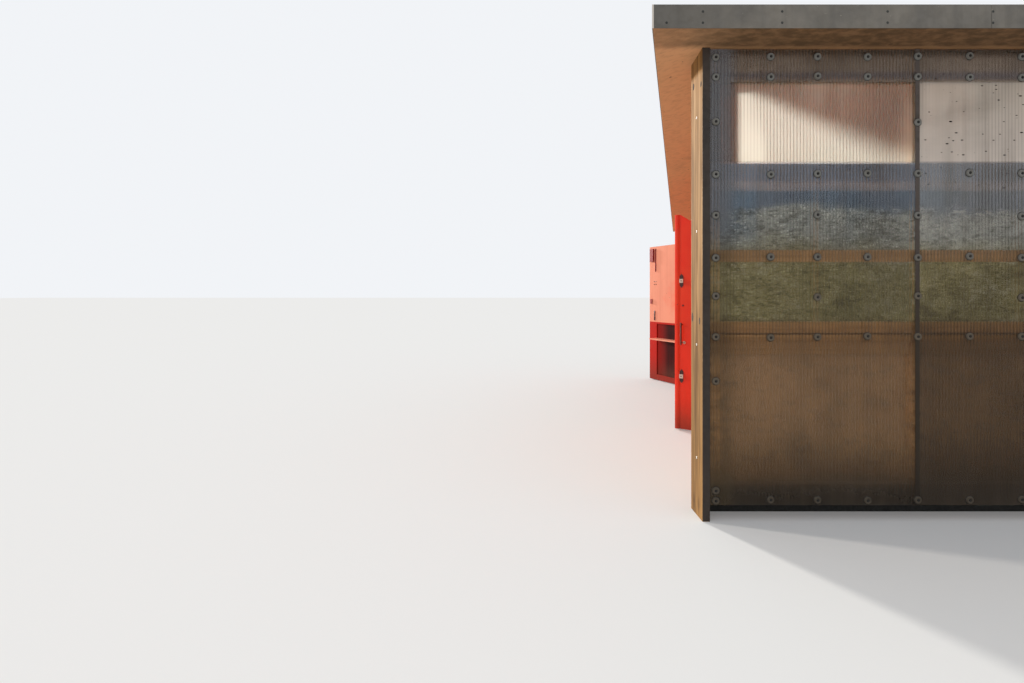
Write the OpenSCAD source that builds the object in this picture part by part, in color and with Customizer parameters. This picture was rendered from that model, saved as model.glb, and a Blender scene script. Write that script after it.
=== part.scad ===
// Beach hut: sheet-clad timber walls, an open porch behind a wing wall,
// a tilted roof with a canted front edge and a pair of steel door leaves.
// X runs inland, Y runs along the row of huts, Z is up. All sizes in mm.

/* [Plan] */
// Length of the near side wall without its two end boards
near_run = 3770; // [3400:10:4200]
// Width of the hut over both side walls
hut_w = 4400; // [4200:10:4800]
// Distance from the wing wall's tip back to the front wall
porch_d = 1600; // [1300:10:1800]

/* [Walls] */
// Thickness of the solid timber wall panels
panel_t = 120; // [100:1:140]
// Depth of the cavity behind the cladding sheets
cavity = 59; // [45:1:70]
// Thickness of the twin-wall cladding sheets
sheet_t = 16; // [10:1:20]
// Height of the sheets' lower edge above the ground
base_gap = 100; // [60:5:150]
// Rise of the clerestory's sill over the doorway's head
sill_rise = 90; // [60:5:120]
// Height of the near wall's beam under the soffit
near_beam_h = 219; // [180:1:260]
// Height of the front wall's head beam
head_h = 160; // [120:5:180]
// Height of the top beams of the far and the rear wall
beam_h = 60; // [40:5:80]
// Height of the front clerestory at its low end
low_light_h = 103; // [90:1:160]
// Width of the door jambs
jamb_w = 60; // [40:5:90]
// Distance from a hinge axis back to the jamb's outer edge
jamb_back = 10; // [8:1:16]
// Distance from the far side wall to the far leaf's hinge axis
far_pier = 255; // [200:5:300]

/* [Cladding] */
// Number of cladding sheets along the near wall
near_sheets = 3; // [2:1:4]
// Number of cladding sheets along the far wall
far_sheets = 2; // [1:1:3]
// Number of cladding sheets along the rear wall
rear_sheets = 4; // [3:1:5]
// Gap between two cladding sheets
sheet_gap = 10; // [4:1:15]
// Thickness of the sheets' two skins
skin_t = 1.2; // [0.8:0.1:2]
// Thickness of the ribs between the skins
rib_t = 1; // [0.6:0.1:2]
// Distance from one rib to the next
rib_pitch = 20; // [16:1:32]
// Gap between the sheets' top edge and the soffit
sheet_top_gap = 9; // [4:1:20]
// Thickness of the vertical end boards
board_t = 45; // [35:1:60]
// Width of the battens that stand at the ends of a wall
upright_w = 70; // [45:5:90]
// Width of the battens that stand at the sheet joints
joint_upright_w = 45; // [30:1:60]
// Width of the T-shaped strips that cover the sheet joints
cover_w = 26; // [20:1:60]
// Thickness of the cover strips
cover_t = 2; // [1:0.5:3]
// Thickness of the bed of shells and pebbles in each tray
infill_t = 34; // [20:1:40]
// Height of the rail at the sheets' foot
foot_rail_h = 120; // [80:5:160]
// Height of the plain zone over the foot rail
plain_h = 790; // [700:5:860]
// Height of the broad rails that edge the trays
rail_h = 73; // [50:1:90]
// Height of the thin straps beside the rails
strap_rail_h = 47; // [30:1:60]
// Height of the lower tray
low_tray_h = 363; // [300:1:420]
// Height of the upper tray
high_tray_h = 364; // [300:1:420]
// Height of the rail over the near clerestory
top_rail_h = 50; // [30:1:70]

/* [Base] */
// Height of the floor slab
floor_t = 100; // [60:5:150]
// Width of the plinth strips under the walls
plinth_w = 50; // [40:5:80]
// Gap between two plinth strips at a corner
plinth_gap = 2; // [1:0.5:5]

/* [Roof] */
// Fall of the roof per metre towards the far side
roof_fall = 125; // [80:1:130]
// Thickness of the timber roof deck
deck_t = 100; // [80:1:112]
// Height of the metal fascia
fascia_h = 134; // [120:1:150]
// Thickness of the fascia's sheet metal
fascia_t = 4; // [3:0.5:6]
// Depth of the fascia's folded top lip
lip_d = 40; // [25:1:60]
// Overhang at the sides and the rear
overhang = 185; // [120:5:260]
// How far the roof's front near corner reaches past the wing wall's tip
prow = 356; // [300:1:420]
// How far the front edge steps back from the near to the far side
cant = 1620; // [1300:10:1700]
// Length of one piece of fascia
fascia_len = 1930; // [1200:10:2600]
// Gap between two pieces of fascia
fascia_gap = 2; // [1:0.5:6]
// Distance from the roof's edge to the planted bed
bed_inset = 170; // [120:5:300]
// Height of the planted bed's edge over the fascia
bed_edge_h = 10; // [10:1:60]
// Height of the planted bed's crown over its edge
bed_crown = 45; // [40:5:140]
// Height of the cushions of moss on the planted bed
moss_h = 40; // [20:5:60]
// Width of the planted bed's rounded border
bed_border = 60; // [40:5:100]
// Distance from the planted bed's border to its shoulder
bed_shoulder = 390; // [300:10:500]
// Distance from the shoulder to the crown
bed_top = 550; // [400:10:650]

/* [Doors] */
// Height of each door leaf
leaf_h = 2093; // [2050:1:2110]
// Width of each door leaf
leaf_w = 1248; // [1200:1:1250]
// Thickness of each door leaf
leaf_t = 45; // [38:1:52]
// Gap between the two leaves when they are closed
meet_gap = 8; // [6:1:12]
// Lap of the closed leaves over the doorway's head
head_lap = 25; // [15:1:40]
// Gap between the ground and the leaves
leaf_gap_z = 12; // [8:1:20]
// Gap between the closed leaves and the front wall
leaf_gap_x = 10; // [8:1:14]
// Angle at which the near leaf stands open
near_open = 57; // [0:1:150]
// Angle at which the far leaf stands open
far_open = 157; // [100:1:165]
// Width of the rounded strip along a leaf's free edge
strip_w = 46; // [30:1:60]
// Height of the rounded strip over the leaf's face
strip_h = 9; // [5:0.5:12]
// Rise of the near leaf's free corner over its top edge
horn_h = 62; // [30:1:65]
// Depth of the recess in the leaves' inner face
recess_d = 14; // [8:1:20]
// Height of the recess above the leaf's bottom edge
recess_h = 880; // [700:10:1000]
// Width of the plain border around the recess
stile_w = 170; // [120:5:220]
// Height of the folding shelf above the leaf's bottom edge
shelf_z = 640; // [500:10:700]
// Depth of the folding shelf
shelf_d = 160; // [100:5:200]
// Thickness of the folding shelf
shelf_t = 18; // [12:1:25]
// Height of the pull handle's middle above the ground
handle_z = 972; // [850:1:1100]
// Height of the lower hasp's middle above the ground
hasp_z = 544; // [400:1:650]
// Distance from the lower to the upper hasp
hasp_step = 958; // [800:1:1000]
// Height of the bolt's housing
bolt_h = 200; // [120:5:260]
// Rise of the far leaf's latch over the pull handle's middle
latch_rise = 220; // [150:5:300]

/* [Hinges] */
// Radius of the hinge pins
pin_r = 6; // [5:0.5:7]
// Radius of the hinge barrels
barrel_r = 10; // [9:0.5:11]
// Gap between a hinge pin and the leaf's barrel
pin_gap = 0.15; // [0.1:0.01:0.3]
// Length of the hinge barrel on the leaf
barrel_l = 60; // [40:1:90]
// Length of each hinge barrel on the frame
frame_barrel_l = 40; // [25:1:60]
// Gap between two hinge barrels
barrel_gap = 1; // [0.5:0.1:3]
// Thickness of the hinge plates
plate_t = 8; // [6:1:10]
// Distance from a hinge's axis to the leaf's edge
edge_gap = 13; // [12.5:0.5:15]
// Number of hinges on each leaf
hinge_count = 3; // [2:1:4]

/* [Hidden] */
$fn = 48;

// Overall sizes that follow from the plan
wall_t = sheet_t + cavity + panel_t;
rear_x = near_run + 2 * board_t;
room_x1 = rear_x - wall_t;
room_y1 = hut_w - wall_t;
far_run = rear_x - porch_d - 2 * board_t;
rear_run = hut_w - 2 * wall_t;
roof_slope = atan(roof_fall / 1000);
big = 20000;

// Heights that follow from the doors, with the roof set to a whole millimetre
opening_z = leaf_gap_z + leaf_h - head_lap;
sill_z = opening_z + sill_rise;
soffit_z = round(opening_z + head_h + low_light_h + room_y1 * roof_fall / 1000);
head_z = soffit_z - near_beam_h;

// The origin is at the middle of the floor's underside
home_x = (porch_d + room_x1) / 2;
home_y = (wall_t + room_y1) / 2;

// Height of the soffit at a place along the row
function soffit(y) = soffit_z - y * roof_fall / 1000;

// Heights of the battens behind the sheets: foot rail, tray edges and sill rail
plain_top = base_gap + foot_rail_h + plain_h;
strap_z = plain_top + rail_h;
low_edge_z = strap_z + strap_rail_h + 13;
low_tray_z = low_edge_z + rail_h - 6;
mid_rail_z = low_tray_z + low_tray_h;
high_tray_z = mid_rail_z + rail_h;
high_edge_z = high_tray_z + high_tray_h;
batten_levels = [
    [base_gap, base_gap + foot_rail_h],
    [plain_top, strap_z],
    [strap_z, strap_z + strap_rail_h],
    [low_edge_z, low_tray_z],
    [mid_rail_z, high_tray_z],
    [high_edge_z, high_edge_z + strap_rail_h],
    [high_edge_z + strap_rail_h, sill_z],
];
// Share of the cavity's depth that each batten fills
batten_depths = [1, 0.7, 1, 1, 1, 0.7, 1, 1];
// Heights of the two trays that hold the infill
tray_levels = [[low_tray_z, mid_rail_z], [high_tray_z, high_edge_z]];
// Shadow gap between two battens and over each infill bed
batten_gap = 0.8;
far_head_z = round(soffit(hut_w)) - beam_h;
// Middles of the near wall's posts: one stands where the front wall meets it
front_post = porch_d + panel_t / 2 - board_t;
near_post_places = [
    upright_w / 2, front_post,
    (front_post + near_run - upright_w / 2) / 2, near_run - upright_w / 2,
];

// Door hinge axes, seen from above
axis_x = porch_d - leaf_gap_x - leaf_t / 2;
far_axis_y = room_y1 - far_pier;
near_axis_y = far_axis_y - 2 * (edge_gap + leaf_w) - meet_gap;

// Colours
c_timber = [0.66, 0.50, 0.32];
c_batten = [0.47, 0.33, 0.20];
c_sheet = [0.55, 0.56, 0.52, 0.6];
c_metal = [0.42, 0.41, 0.38];
c_red = [0.80, 0.10, 0.06];
c_steel = [0.55, 0.55, 0.56];
c_infill = [0.45, 0.47, 0.36];
c_moss = [0.33, 0.36, 0.16];
c_dark = [0.08, 0.08, 0.08];

// Moves the hut so that the origin lies under its floor
module home() {
    translate([-home_x, -home_y, 0]) children();
}

// A box from its low corner to its high corner
module box(a, b) {
    translate(a) cube(b - a);
}

// The space between two planes that lie along the roof's fall
module roof_layer(low, high) {
    translate([0, 0, soffit_z])
        rotate([-roof_slope, 0, 0])
            translate([-big / 2, -big / 2, low * cos(roof_slope)])
                cube([big, big, (high - low) * cos(roof_slope)]);
}

// Cuts its children off at a plane under the soffit
module under_roof(gap = 0) {
    intersection() {
        children();
        roof_layer(-big / 2, -gap);
    }
}

// One twin-wall sheet, seen from above: two skins with ribs between them
module sheet_profile(w) {
    cells = floor((w - rib_t) / rib_pitch);
    margin = (w - cells * rib_pitch + rib_t) / 2;
    difference() {
        square([w, sheet_t]);
        for (i = [0 : cells - 1])
            translate([margin + i * rib_pitch, skin_t])
                square([rib_pitch - rib_t, sheet_t - 2 * skin_t]);
    }
}

// Width of one of several sheets that share a run
function share_w(run, count) = (run - (count - 1) * sheet_gap) / count;

// A row of sheets standing side by side along X
module sheet_row(run, count, low, high) {
    w = share_w(run, count);
    for (i = [0 : count - 1])
        translate([i * (w + sheet_gap), 0, low])
            linear_extrude(high - low) sheet_profile(w);
}

// Middles of the upright battens: at both ends and at the sheet joints
function joint_places(run, count) = [
    for (i = [0 : count])
        i == 0 ? upright_w / 2
        : i == count ? run - upright_w / 2
        : i * (share_w(run, count) + sheet_gap) - sheet_gap / 2
];

// Width of one of the upright battens
function upright_at(i, count) = i == 0 || i == count ? upright_w : joint_upright_w;

// Bays between the upright battens, as [start, length]
function bays(run, count) = let(places = joint_places(run, count)) [
    for (i = [0 : count - 1]) let(
        low = places[i] + (upright_at(i, count) + batten_gap) / 2,
        high = places[i + 1] - (upright_at(i + 1, count) + batten_gap) / 2
    ) [low, high - low]
];

// Battens of one wall, laid along X with the cavity's depth along +Y: uprights
// from the foot to the top, and rails that fill the bays between them
module batten_set(run, count, top_rail) {
    places = joint_places(run, count);
    levels = top_rail > 0
        ? concat(batten_levels, [[top_rail, top_rail + top_rail_h]])
        : batten_levels;
    for (i = [0 : count])
        translate([places[i] - upright_at(i, count) / 2, 0, base_gap])
            cube([upright_at(i, count), cavity, soffit_z - base_gap]);
    for (bay = bays(run, count), i = [0 : len(levels) - 1]) {
        depth = cavity * batten_depths[i];
        translate([bay[0], cavity - depth, levels[i][0]])
            cube([bay[1], depth, levels[i][1] - levels[i][0] - batten_gap]);
    }
}

// The beds of shells and pebbles held between the battens
module infill_set(run, count) {
    for (bay = bays(run, count), z = tray_levels)
        translate([bay[0], cavity - infill_t, z[0]])
            cube([bay[1], infill_t, z[1] - z[0] - batten_gap]);
}

// Clerestory posts of one wall, with the wall's thickness along +Y
module post_set(places, high) {
    for (x = places)
        translate([x - upright_w / 2, 0, sill_z])
            cube([upright_w, panel_t, high - sill_z]);
}

// Middles of the posts of a wall that has them at its ends and halfway
function post_places(run) = [upright_w / 2, run / 2, run - upright_w / 2];

// The strips over one wall's sheet joints: a flange on the sheets' outer face
// and a web that stands in the gap between two sheets
module strip_set(run, count, high) {
    web = cover_t;
    places = joint_places(run, count);
    for (i = [1 : 1 : count - 1])
        translate([places[i], 0, base_gap]) {
            translate([-cover_w / 2, -cover_t, 0])
                cube([cover_w, cover_t, high - base_gap]);
            translate([-web / 2, 0, 0])
                cube([web, sheet_t * 0.8, high - base_gap]);
        }
}

// The far wall mirrors the near wall's layers, with its sheets facing +Y
module far_side() {
    translate([porch_d + board_t, hut_w, 0]) mirror([0, 1, 0]) children();
}

// The rear wall's layers run along Y, with its sheets facing +X
module rear_side() {
    translate([rear_x, wall_t, 0]) rotate([0, 0, 90]) children();
}

// Floor and plinth strips

module floor_slab() {
    color(c_timber) home()
        box([porch_d, wall_t, 0], [room_x1, room_y1, floor_t]);
}

module plinths() {
    color(c_dark) home() {
        box([board_t, wall_t - plinth_w, 0], [rear_x - board_t, wall_t, base_gap]);
        box([porch_d + board_t, room_y1, 0],
            [rear_x - board_t, room_y1 + plinth_w, base_gap]);
        box([room_x1, wall_t + plinth_gap, 0],
            [room_x1 + plinth_w, room_y1 - plinth_gap, base_gap]);
    }
}

// Near side wall

module near_wall_panel() {
    color(c_timber) home()
        box([board_t, sheet_t + cavity, base_gap], [rear_x - board_t, wall_t, sill_z]);
}

module near_wall_posts() {
    color(c_timber) home()
        translate([board_t, sheet_t + cavity, 0])
            post_set(near_post_places, head_z);
}

module near_wall_beam() {
    color(c_timber) home()
        under_roof()
            box([board_t, sheet_t + cavity, head_z],
                [rear_x - board_t, wall_t, soffit_z]);
}

module near_wall_battens() {
    color(c_batten) home()
        under_roof(sheet_top_gap)
            translate([board_t, sheet_t, 0])
                batten_set(near_run, near_sheets, head_z);
}

module near_wall_infill() {
    color(c_infill) home()
        translate([board_t, sheet_t, 0]) infill_set(near_run, near_sheets);
}

module near_wall_sheets() {
    color(c_sheet) home()
        translate([board_t, 0, 0])
            sheet_row(near_run, near_sheets, base_gap, soffit(0) - sheet_top_gap);
}

module near_end_board() {
    color(c_timber) home()
        under_roof() box([0, 0, 0], [board_t, wall_t, soffit_z]);
}

// Far side wall

module far_wall_panel() {
    color(c_timber) home() far_side()
        translate([0, sheet_t + cavity, base_gap])
            cube([far_run, panel_t, sill_z - base_gap]);
}

module far_wall_posts() {
    color(c_timber) home() far_side()
        translate([0, sheet_t + cavity, 0])
            post_set(post_places(far_run), far_head_z);
}

module far_wall_beam() {
    color(c_timber) home()
        under_roof() far_side()
            translate([0, sheet_t + cavity, far_head_z])
                cube([far_run, panel_t, soffit_z - far_head_z]);
}

module far_wall_battens() {
    color(c_batten) home()
        under_roof(sheet_top_gap) far_side()
            translate([0, sheet_t, 0]) batten_set(far_run, far_sheets, 0);
}

module far_wall_infill() {
    color(c_infill) home() far_side()
        translate([0, sheet_t, 0]) infill_set(far_run, far_sheets);
}

module far_wall_sheets() {
    color(c_sheet) home() far_side()
        sheet_row(far_run, far_sheets, base_gap, soffit(hut_w) - sheet_top_gap);
}

// Rear wall, with a top that follows the roof's fall

module rear_wall_panel() {
    color(c_timber) home() rear_side()
        translate([0, sheet_t + cavity, base_gap])
            cube([rear_run, panel_t, sill_z - base_gap]);
}

module rear_wall_posts() {
    color(c_timber) home()
        under_roof(beam_h) rear_side()
            translate([0, sheet_t + cavity, 0])
                post_set(post_places(rear_run), soffit_z);
}

module rear_wall_beam() {
    color(c_timber) home()
        intersection() {
            box([room_x1, wall_t, 0], [room_x1 + panel_t, room_y1, soffit_z]);
            roof_layer(-beam_h, 0);
        }
}

module rear_wall_battens() {
    color(c_batten) home()
        under_roof(sheet_top_gap) rear_side()
            translate([0, sheet_t, 0]) batten_set(rear_run, rear_sheets, 0);
}

module rear_wall_infill() {
    color(c_infill) home() rear_side()
        translate([0, sheet_t, 0]) infill_set(rear_run, rear_sheets);
}

module rear_wall_sheets() {
    color(c_sheet) home()
        under_roof(sheet_top_gap) rear_side()
            sheet_row(rear_run, rear_sheets, base_gap, soffit_z);
}

// Metal strips over the joints of the three clad walls
module joint_strips() {
    color(c_metal) home()
        under_roof(sheet_top_gap) {
            translate([board_t, 0, 0]) strip_set(near_run, near_sheets, soffit_z);
            far_side() strip_set(far_run, far_sheets, soffit_z);
            rear_side() strip_set(rear_run, rear_sheets, soffit_z);
        }
}

// Boards that close the ends of the walls at the other three corners
module corner_boards() {
    color(c_timber) home()
        under_roof() {
            box([rear_x - board_t, 0, 0], [rear_x, wall_t, soffit_z]);
            box([rear_x - board_t, room_y1, 0], [rear_x, hut_w, soffit_z]);
            box([porch_d, room_y1, 0], [porch_d + board_t, hut_w, soffit_z]);
        }
}

// Front wall, set back under the roof

module front_wall_panel() {
    color(c_timber) home()
        box([porch_d, wall_t, floor_t],
            [porch_d + panel_t, near_axis_y - jamb_back, opening_z]);
}

module front_wall_pier() {
    color(c_timber) home()
        box([porch_d, far_axis_y + jamb_back, floor_t],
            [porch_d + panel_t, room_y1, opening_z]);
}

module front_wall_head() {
    color(c_timber) home()
        box([porch_d, wall_t, opening_z],
            [porch_d + panel_t, room_y1, opening_z + head_h]);
}

module front_wall_posts() {
    run = rear_run;
    places = joint_places(run, near_sheets);
    color(c_timber) home()
        under_roof()
            for (y = places)
                box([porch_d + sheet_t, wall_t + y - upright_w / 2, opening_z + head_h],
                    [porch_d + panel_t, wall_t + y + upright_w / 2, soffit_z]);
}

// The clerestory over the doors: raked sheets that stand on the head beam
module front_wall_sheet() {
    color(c_sheet) home()
        under_roof(sheet_top_gap)
            translate([porch_d + sheet_t, wall_t, 0]) rotate([0, 0, 90])
                sheet_row(rear_run, near_sheets, opening_z + head_h, soffit_z);
}

module door_jambs() {
    color(c_red) home() {
        box([porch_d, near_axis_y - jamb_back, floor_t],
            [porch_d + panel_t, near_axis_y - jamb_back + jamb_w, opening_z]);
        box([porch_d, far_axis_y + jamb_back - jamb_w, floor_t],
            [porch_d + panel_t, far_axis_y + jamb_back, opening_z]);
    }
}

// Roof

// Place of the canted front edge, moved inwards by a distance
function front_edge(y, inset) =
    -prow + (y + overhang) * cant / (hut_w + 2 * overhang)
    + inset / cos(atan(cant / (hut_w + 2 * overhang)));

// The roof's four corners, moved inwards by a distance
function roof_plan(inset) = let(
        y0 = inset - overhang,
        y1 = hut_w + overhang - inset,
        x1 = rear_x + overhang - inset
    ) [[front_edge(y0, inset), y0], [x1, y0], [x1, y1], [front_edge(y1, inset), y1]];

module roof_deck() {
    color(c_timber) home()
        intersection() {
            linear_extrude(big / 4) polygon(roof_plan(fascia_t));
            roof_layer(0, deck_t);
        }
}

// Rows of points over the planted bed, from edge to edge as shares of its width
bed_cells = 17;
bed_rows = [0, 0.017, for (i = [1 : bed_cells - 1]) i / bed_cells, 0.983, 1];
bed_last = len(bed_rows) - 1;

// A point between a plan's four corners, as shares of its two directions
function plan_point(plan, a, b) =
    (plan[0] * (1 - a) + plan[1] * a) * (1 - b)
    + (plan[3] * (1 - a) + plan[2] * a) * b;

// Height of the bed at a distance from its edge
function bed_profile(d) = let(top = fascia_h + bed_edge_h - deck_t) lookup(d, [
    [0, top * 0.6],
    [bed_border, top],
    [bed_border + bed_shoulder, top + bed_crown * 0.6],
    [bed_border + bed_shoulder + bed_top, top + bed_crown],
]);

// Share of a moss cushion's height at a point of the bed, uneven but fixed
function moss_share(i, j) =
    min(i, j, bed_last - i, bed_last - j) < 2 ? 0
    : pow(((i * 7 + j * 13 + i * j * 5) % 11) / 10, 1.5);

// The planted bed: a low mound with a rounded border and cushions of moss
module roof_bed() {
    plan = roof_plan(bed_inset);
    long = norm(plan[1] - plan[0]);
    wide = norm(plan[2] - plan[1]);
    points = [
        for (j = [0 : bed_last], i = [0 : bed_last]) let(
            a = bed_rows[i],
            b = bed_rows[j],
            d = min(min(a, 1 - a) * long, min(b, 1 - b) * wide),
            p = plan_point(plan, a, b)
        ) [p[0], p[1], bed_profile(d) + moss_h * moss_share(i, j)]
    ];
    row = bed_last + 1;
    count = row * row;
    feet = [for (i = [0 : 3]) [plan[i][0], plan[i][1], 0]];
    tops = [
        for (j = [0 : bed_last - 1], i = [0 : bed_last - 1]) let(q = j * row + i)
            each [[q, q + row, q + 1], [q + 1, q + row, q + row + 1]]
    ];
    sides = [
        [count + 1, count, each [for (i = [0 : bed_last]) i]],
        [count + 2, count + 1, each [for (j = [0 : bed_last]) j * row + bed_last]],
        [count + 3, count + 2, each [for (i = [bed_last : -1 : 0]) bed_last * row + i]],
        [count, count + 3, each [for (j = [bed_last : -1 : 0]) j * row]],
    ];
    floor_face = [[count, count + 1, count + 2, count + 3]];
    color(c_moss) home()
        translate([0, 0, soffit_z])
            rotate([-roof_slope, 0, 0])
                translate([0, 0, deck_t * cos(roof_slope)])
                    polyhedron(concat(points, feet), concat(tops, sides, floor_face));
}

// One side of the fascia: an upright sheet with its top edge folded inwards
module fascia_side(side) {
    next = (side + 1) % 4;
    outer = roof_plan(0);
    lip = roof_plan(lip_d);
    difference() {
        intersection() {
            linear_extrude(big / 4)
                polygon([outer[side], outer[next], lip[next], lip[side]]);
            roof_layer(0, fascia_h);
        }
        intersection() {
            linear_extrude(big / 4) polygon(roof_plan(fascia_t));
            roof_layer(-fascia_t, fascia_h - fascia_t);
        }
    }
}

// Cuts a fascia that runs along X, or along Y, into its lengths
module cut_lengths(from, to, along_x) {
    difference() {
        children();
        for (p = [from + fascia_len : fascia_len : to - fascia_len / 4])
            translate(along_x ? [p, -big / 2, 0] : [-big / 2, p, 0])
                cube(along_x ? [fascia_gap, big, big] : [big, fascia_gap, big]);
    }
}

module near_fascia() {
    color(c_metal) home()
        cut_lengths(-prow, rear_x + overhang, true) fascia_side(0);
}

module rear_fascia() {
    color(c_metal) home()
        cut_lengths(-overhang, hut_w + overhang, false) fascia_side(1);
}

module far_fascia() {
    color(c_metal) home()
        cut_lengths(cant - prow, rear_x + overhang, true) fascia_side(2);
}

module front_fascia() {
    color(c_metal) home()
        cut_lengths(-overhang, hut_w + overhang, false) fascia_side(3);
}

// Door leaves: u runs from the hinge axis to the free edge, v points outwards

free_u = edge_gap + leaf_w;
face_v = leaf_t / 2;
hinge_l = barrel_l + 2 * (frame_barrel_l + barrel_gap);
hinge_margin = 150;

// Low ends of the hinges above a leaf's bottom edge
function hinge_lows() = [
    for (i = [0 : hinge_count - 1])
        hinge_margin + i * (leaf_h - 2 * hinge_margin - hinge_l) / (hinge_count - 1)
];

module near_leaf_place() {
    translate([axis_x, near_axis_y, leaf_gap_z])
        rotate([0, 0, 90 + near_open]) children();
}

module far_leaf_place() {
    translate([axis_x, far_axis_y, leaf_gap_z])
        mirror([0, 1, 0]) rotate([0, 0, 90 + far_open]) children();
}

// A plain upright slab between two places in v, from an outline in u and z
module upright_slab(v0, v1) {
    translate([0, v1, 0]) rotate([90, 0, 0]) linear_extrude(v1 - v0) children();
}

// A leaf with a rounded strip along its free edge and a recess low on its inner
// face; a horn can rise over its free top corner
module door_leaf(horn) {
    horn_w = 55;
    horn_foot = 144;
    rise = strip_h - 2;
    bead_r = round((pow(strip_w / 2, 2) + pow(rise, 2)) / (2 * rise));
    difference() {
        union() {
            upright_slab(-face_v, face_v)
                polygon([
                    [edge_gap, 0], [free_u, 0], [free_u, leaf_h + horn],
                    [free_u - horn_w, leaf_h + horn], [free_u - horn_foot, leaf_h],
                    [edge_gap, leaf_h],
                ]);
            intersection() {
                translate([free_u - strip_w / 2, face_v + strip_h - bead_r, 0])
                    cylinder(r = bead_r, h = leaf_h + horn, $fn = 96);
                translate([free_u - strip_w, 0, 0])
                    cube([strip_w, face_v + 2 * strip_h, leaf_h + horn]);
            }
        }
        translate([edge_gap + stile_w, -face_v - recess_d, stile_w / 2])
            cube([leaf_w - 2 * stile_w, 2 * recess_d, recess_h - stile_w / 2]);
    }
}

module near_door_leaf() {
    color(c_red) home() near_leaf_place() door_leaf(horn_h);
}

module far_door_leaf() {
    color(c_red) home() far_leaf_place() door_leaf(0);
}

// The leaf's half of its hinges: a barrel with a plate on the leaf's edge
module leaf_hinges() {
    seat_t = 2.5;
    for (z = hinge_lows())
        translate([0, 0, z + frame_barrel_l + barrel_gap])
            difference() {
                union() {
                    cylinder(r = barrel_r, h = barrel_l);
                    translate([0, -plate_t / 2, 0]) cube([edge_gap, plate_t, barrel_l]);
                    translate([edge_gap - seat_t, -leaf_t * 0.4, 0])
                        cube([seat_t, leaf_t * 0.8, barrel_l]);
                }
                translate([0, 0, -1]) cylinder(r = pin_r + pin_gap, h = barrel_l + 2);
            }
}

module near_door_hinges() {
    color(c_red) home() near_leaf_place() leaf_hinges();
}

module far_door_hinges() {
    color(c_red) home() far_leaf_place() leaf_hinges();
}

// The frame's half of one leaf's hinges, with the pins
module frame_hinge_set(side) {
    flange_t = 4;
    flange_w = 34;
    reach = porch_d - axis_x;
    for (z = hinge_lows()) {
        translate([0, 0, z]) cylinder(r = pin_r, h = hinge_l);
        for (low = [z, z + hinge_l - frame_barrel_l])
            translate([0, 0, low]) {
                cylinder(r = barrel_r, h = frame_barrel_l);
                translate([0, -plate_t / 2, 0])
                    cube([reach, plate_t, frame_barrel_l]);
                translate([reach - flange_t, side > 0 ? -plate_t / 2 : -flange_w, 0])
                    cube([flange_t, flange_w + plate_t / 2, frame_barrel_l]);
            }
    }
}

module frame_hinges() {
    color(c_red) home() {
        translate([axis_x, near_axis_y, leaf_gap_z]) frame_hinge_set(-1);
        translate([axis_x, far_axis_y, leaf_gap_z]) frame_hinge_set(1);
    }
}

// A pull handle near the near leaf's free edge: a bar on two short posts
module near_door_handle() {
    grip_l = 220;
    grip_r = 8;
    post_r = 6;
    stand = 42;
    u = free_u - strip_w - 24;
    color(c_red) home() near_leaf_place()
        translate([u, face_v, handle_z - leaf_gap_z]) {
            for (z = [-grip_l / 2 + 20, grip_l / 2 - 20])
                translate([0, 0, z]) rotate([-90, 0, 0]) cylinder(r = post_r, h = stand);
            translate([0, stand, -grip_l / 2]) cylinder(r = grip_r, h = grip_l);
        }
}

// Two hasps on the near leaf: a pointed strap with a drilled lug
module near_door_hasps() {
    strap_h = 140;
    strap_w = 36;
    strap_t = 4;
    lug_h = 40;
    lug_t = 20;
    hole_r = 5;
    u = free_u - strip_w - strap_w / 2 - 2;
    color(c_red) home() near_leaf_place()
        for (z = [hasp_z, hasp_z + hasp_step])
            translate([u, face_v, z - leaf_gap_z])
                difference() {
                    union() {
                        upright_slab(0, strap_t)
                            polygon([
                                [-strap_w / 2, -strap_h / 3], [0, -strap_h / 2],
                                [strap_w / 2, -strap_h / 3], [strap_w / 2, strap_h / 3],
                                [0, strap_h / 2], [-strap_w / 2, strap_h / 3],
                            ]);
                        translate([-strap_w / 2, 0, -lug_h / 2])
                            cube([strap_w, lug_t, lug_h]);
                    }
                    translate([0, strap_t, 0]) rotate([-90, 0, 0])
                        cylinder(r = hole_r, h = lug_t);
                }
}

// The far leaf's top bolt: a housing at the free edge and a rod beside it
module far_door_bolt() {
    housing_w = 80;
    housing_d = 26;
    top = opening_z - leaf_gap_z - 10;
    rod_r = 7;
    rod_l = 360;
    lever_h = 36;
    lever_d = 14;
    color(c_red) home() far_leaf_place()
        translate([0, -face_v, 0]) {
            translate([free_u - 30 - housing_w, -housing_d, top - bolt_h])
                cube([housing_w, housing_d, bolt_h]);
            translate([free_u - 55 - housing_w - rod_r * 2, -rod_r, top - rod_l])
                cylinder(r = rod_r, h = rod_l);
            translate([free_u - 30 - lever_h, -lever_d, handle_z + latch_rise])
                cube([lever_h, lever_d, lever_h * 2]);
        }
}

// A narrow shelf that folds out of the far leaf's recess
module far_door_shelf() {
    side_gap = 4;
    color(c_red) home() far_leaf_place()
        translate([edge_gap + stile_w + side_gap, recess_d - face_v - shelf_d, shelf_z])
            cube([leaf_w - 2 * (stile_w + side_gap), shelf_d, shelf_t]);
}

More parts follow.
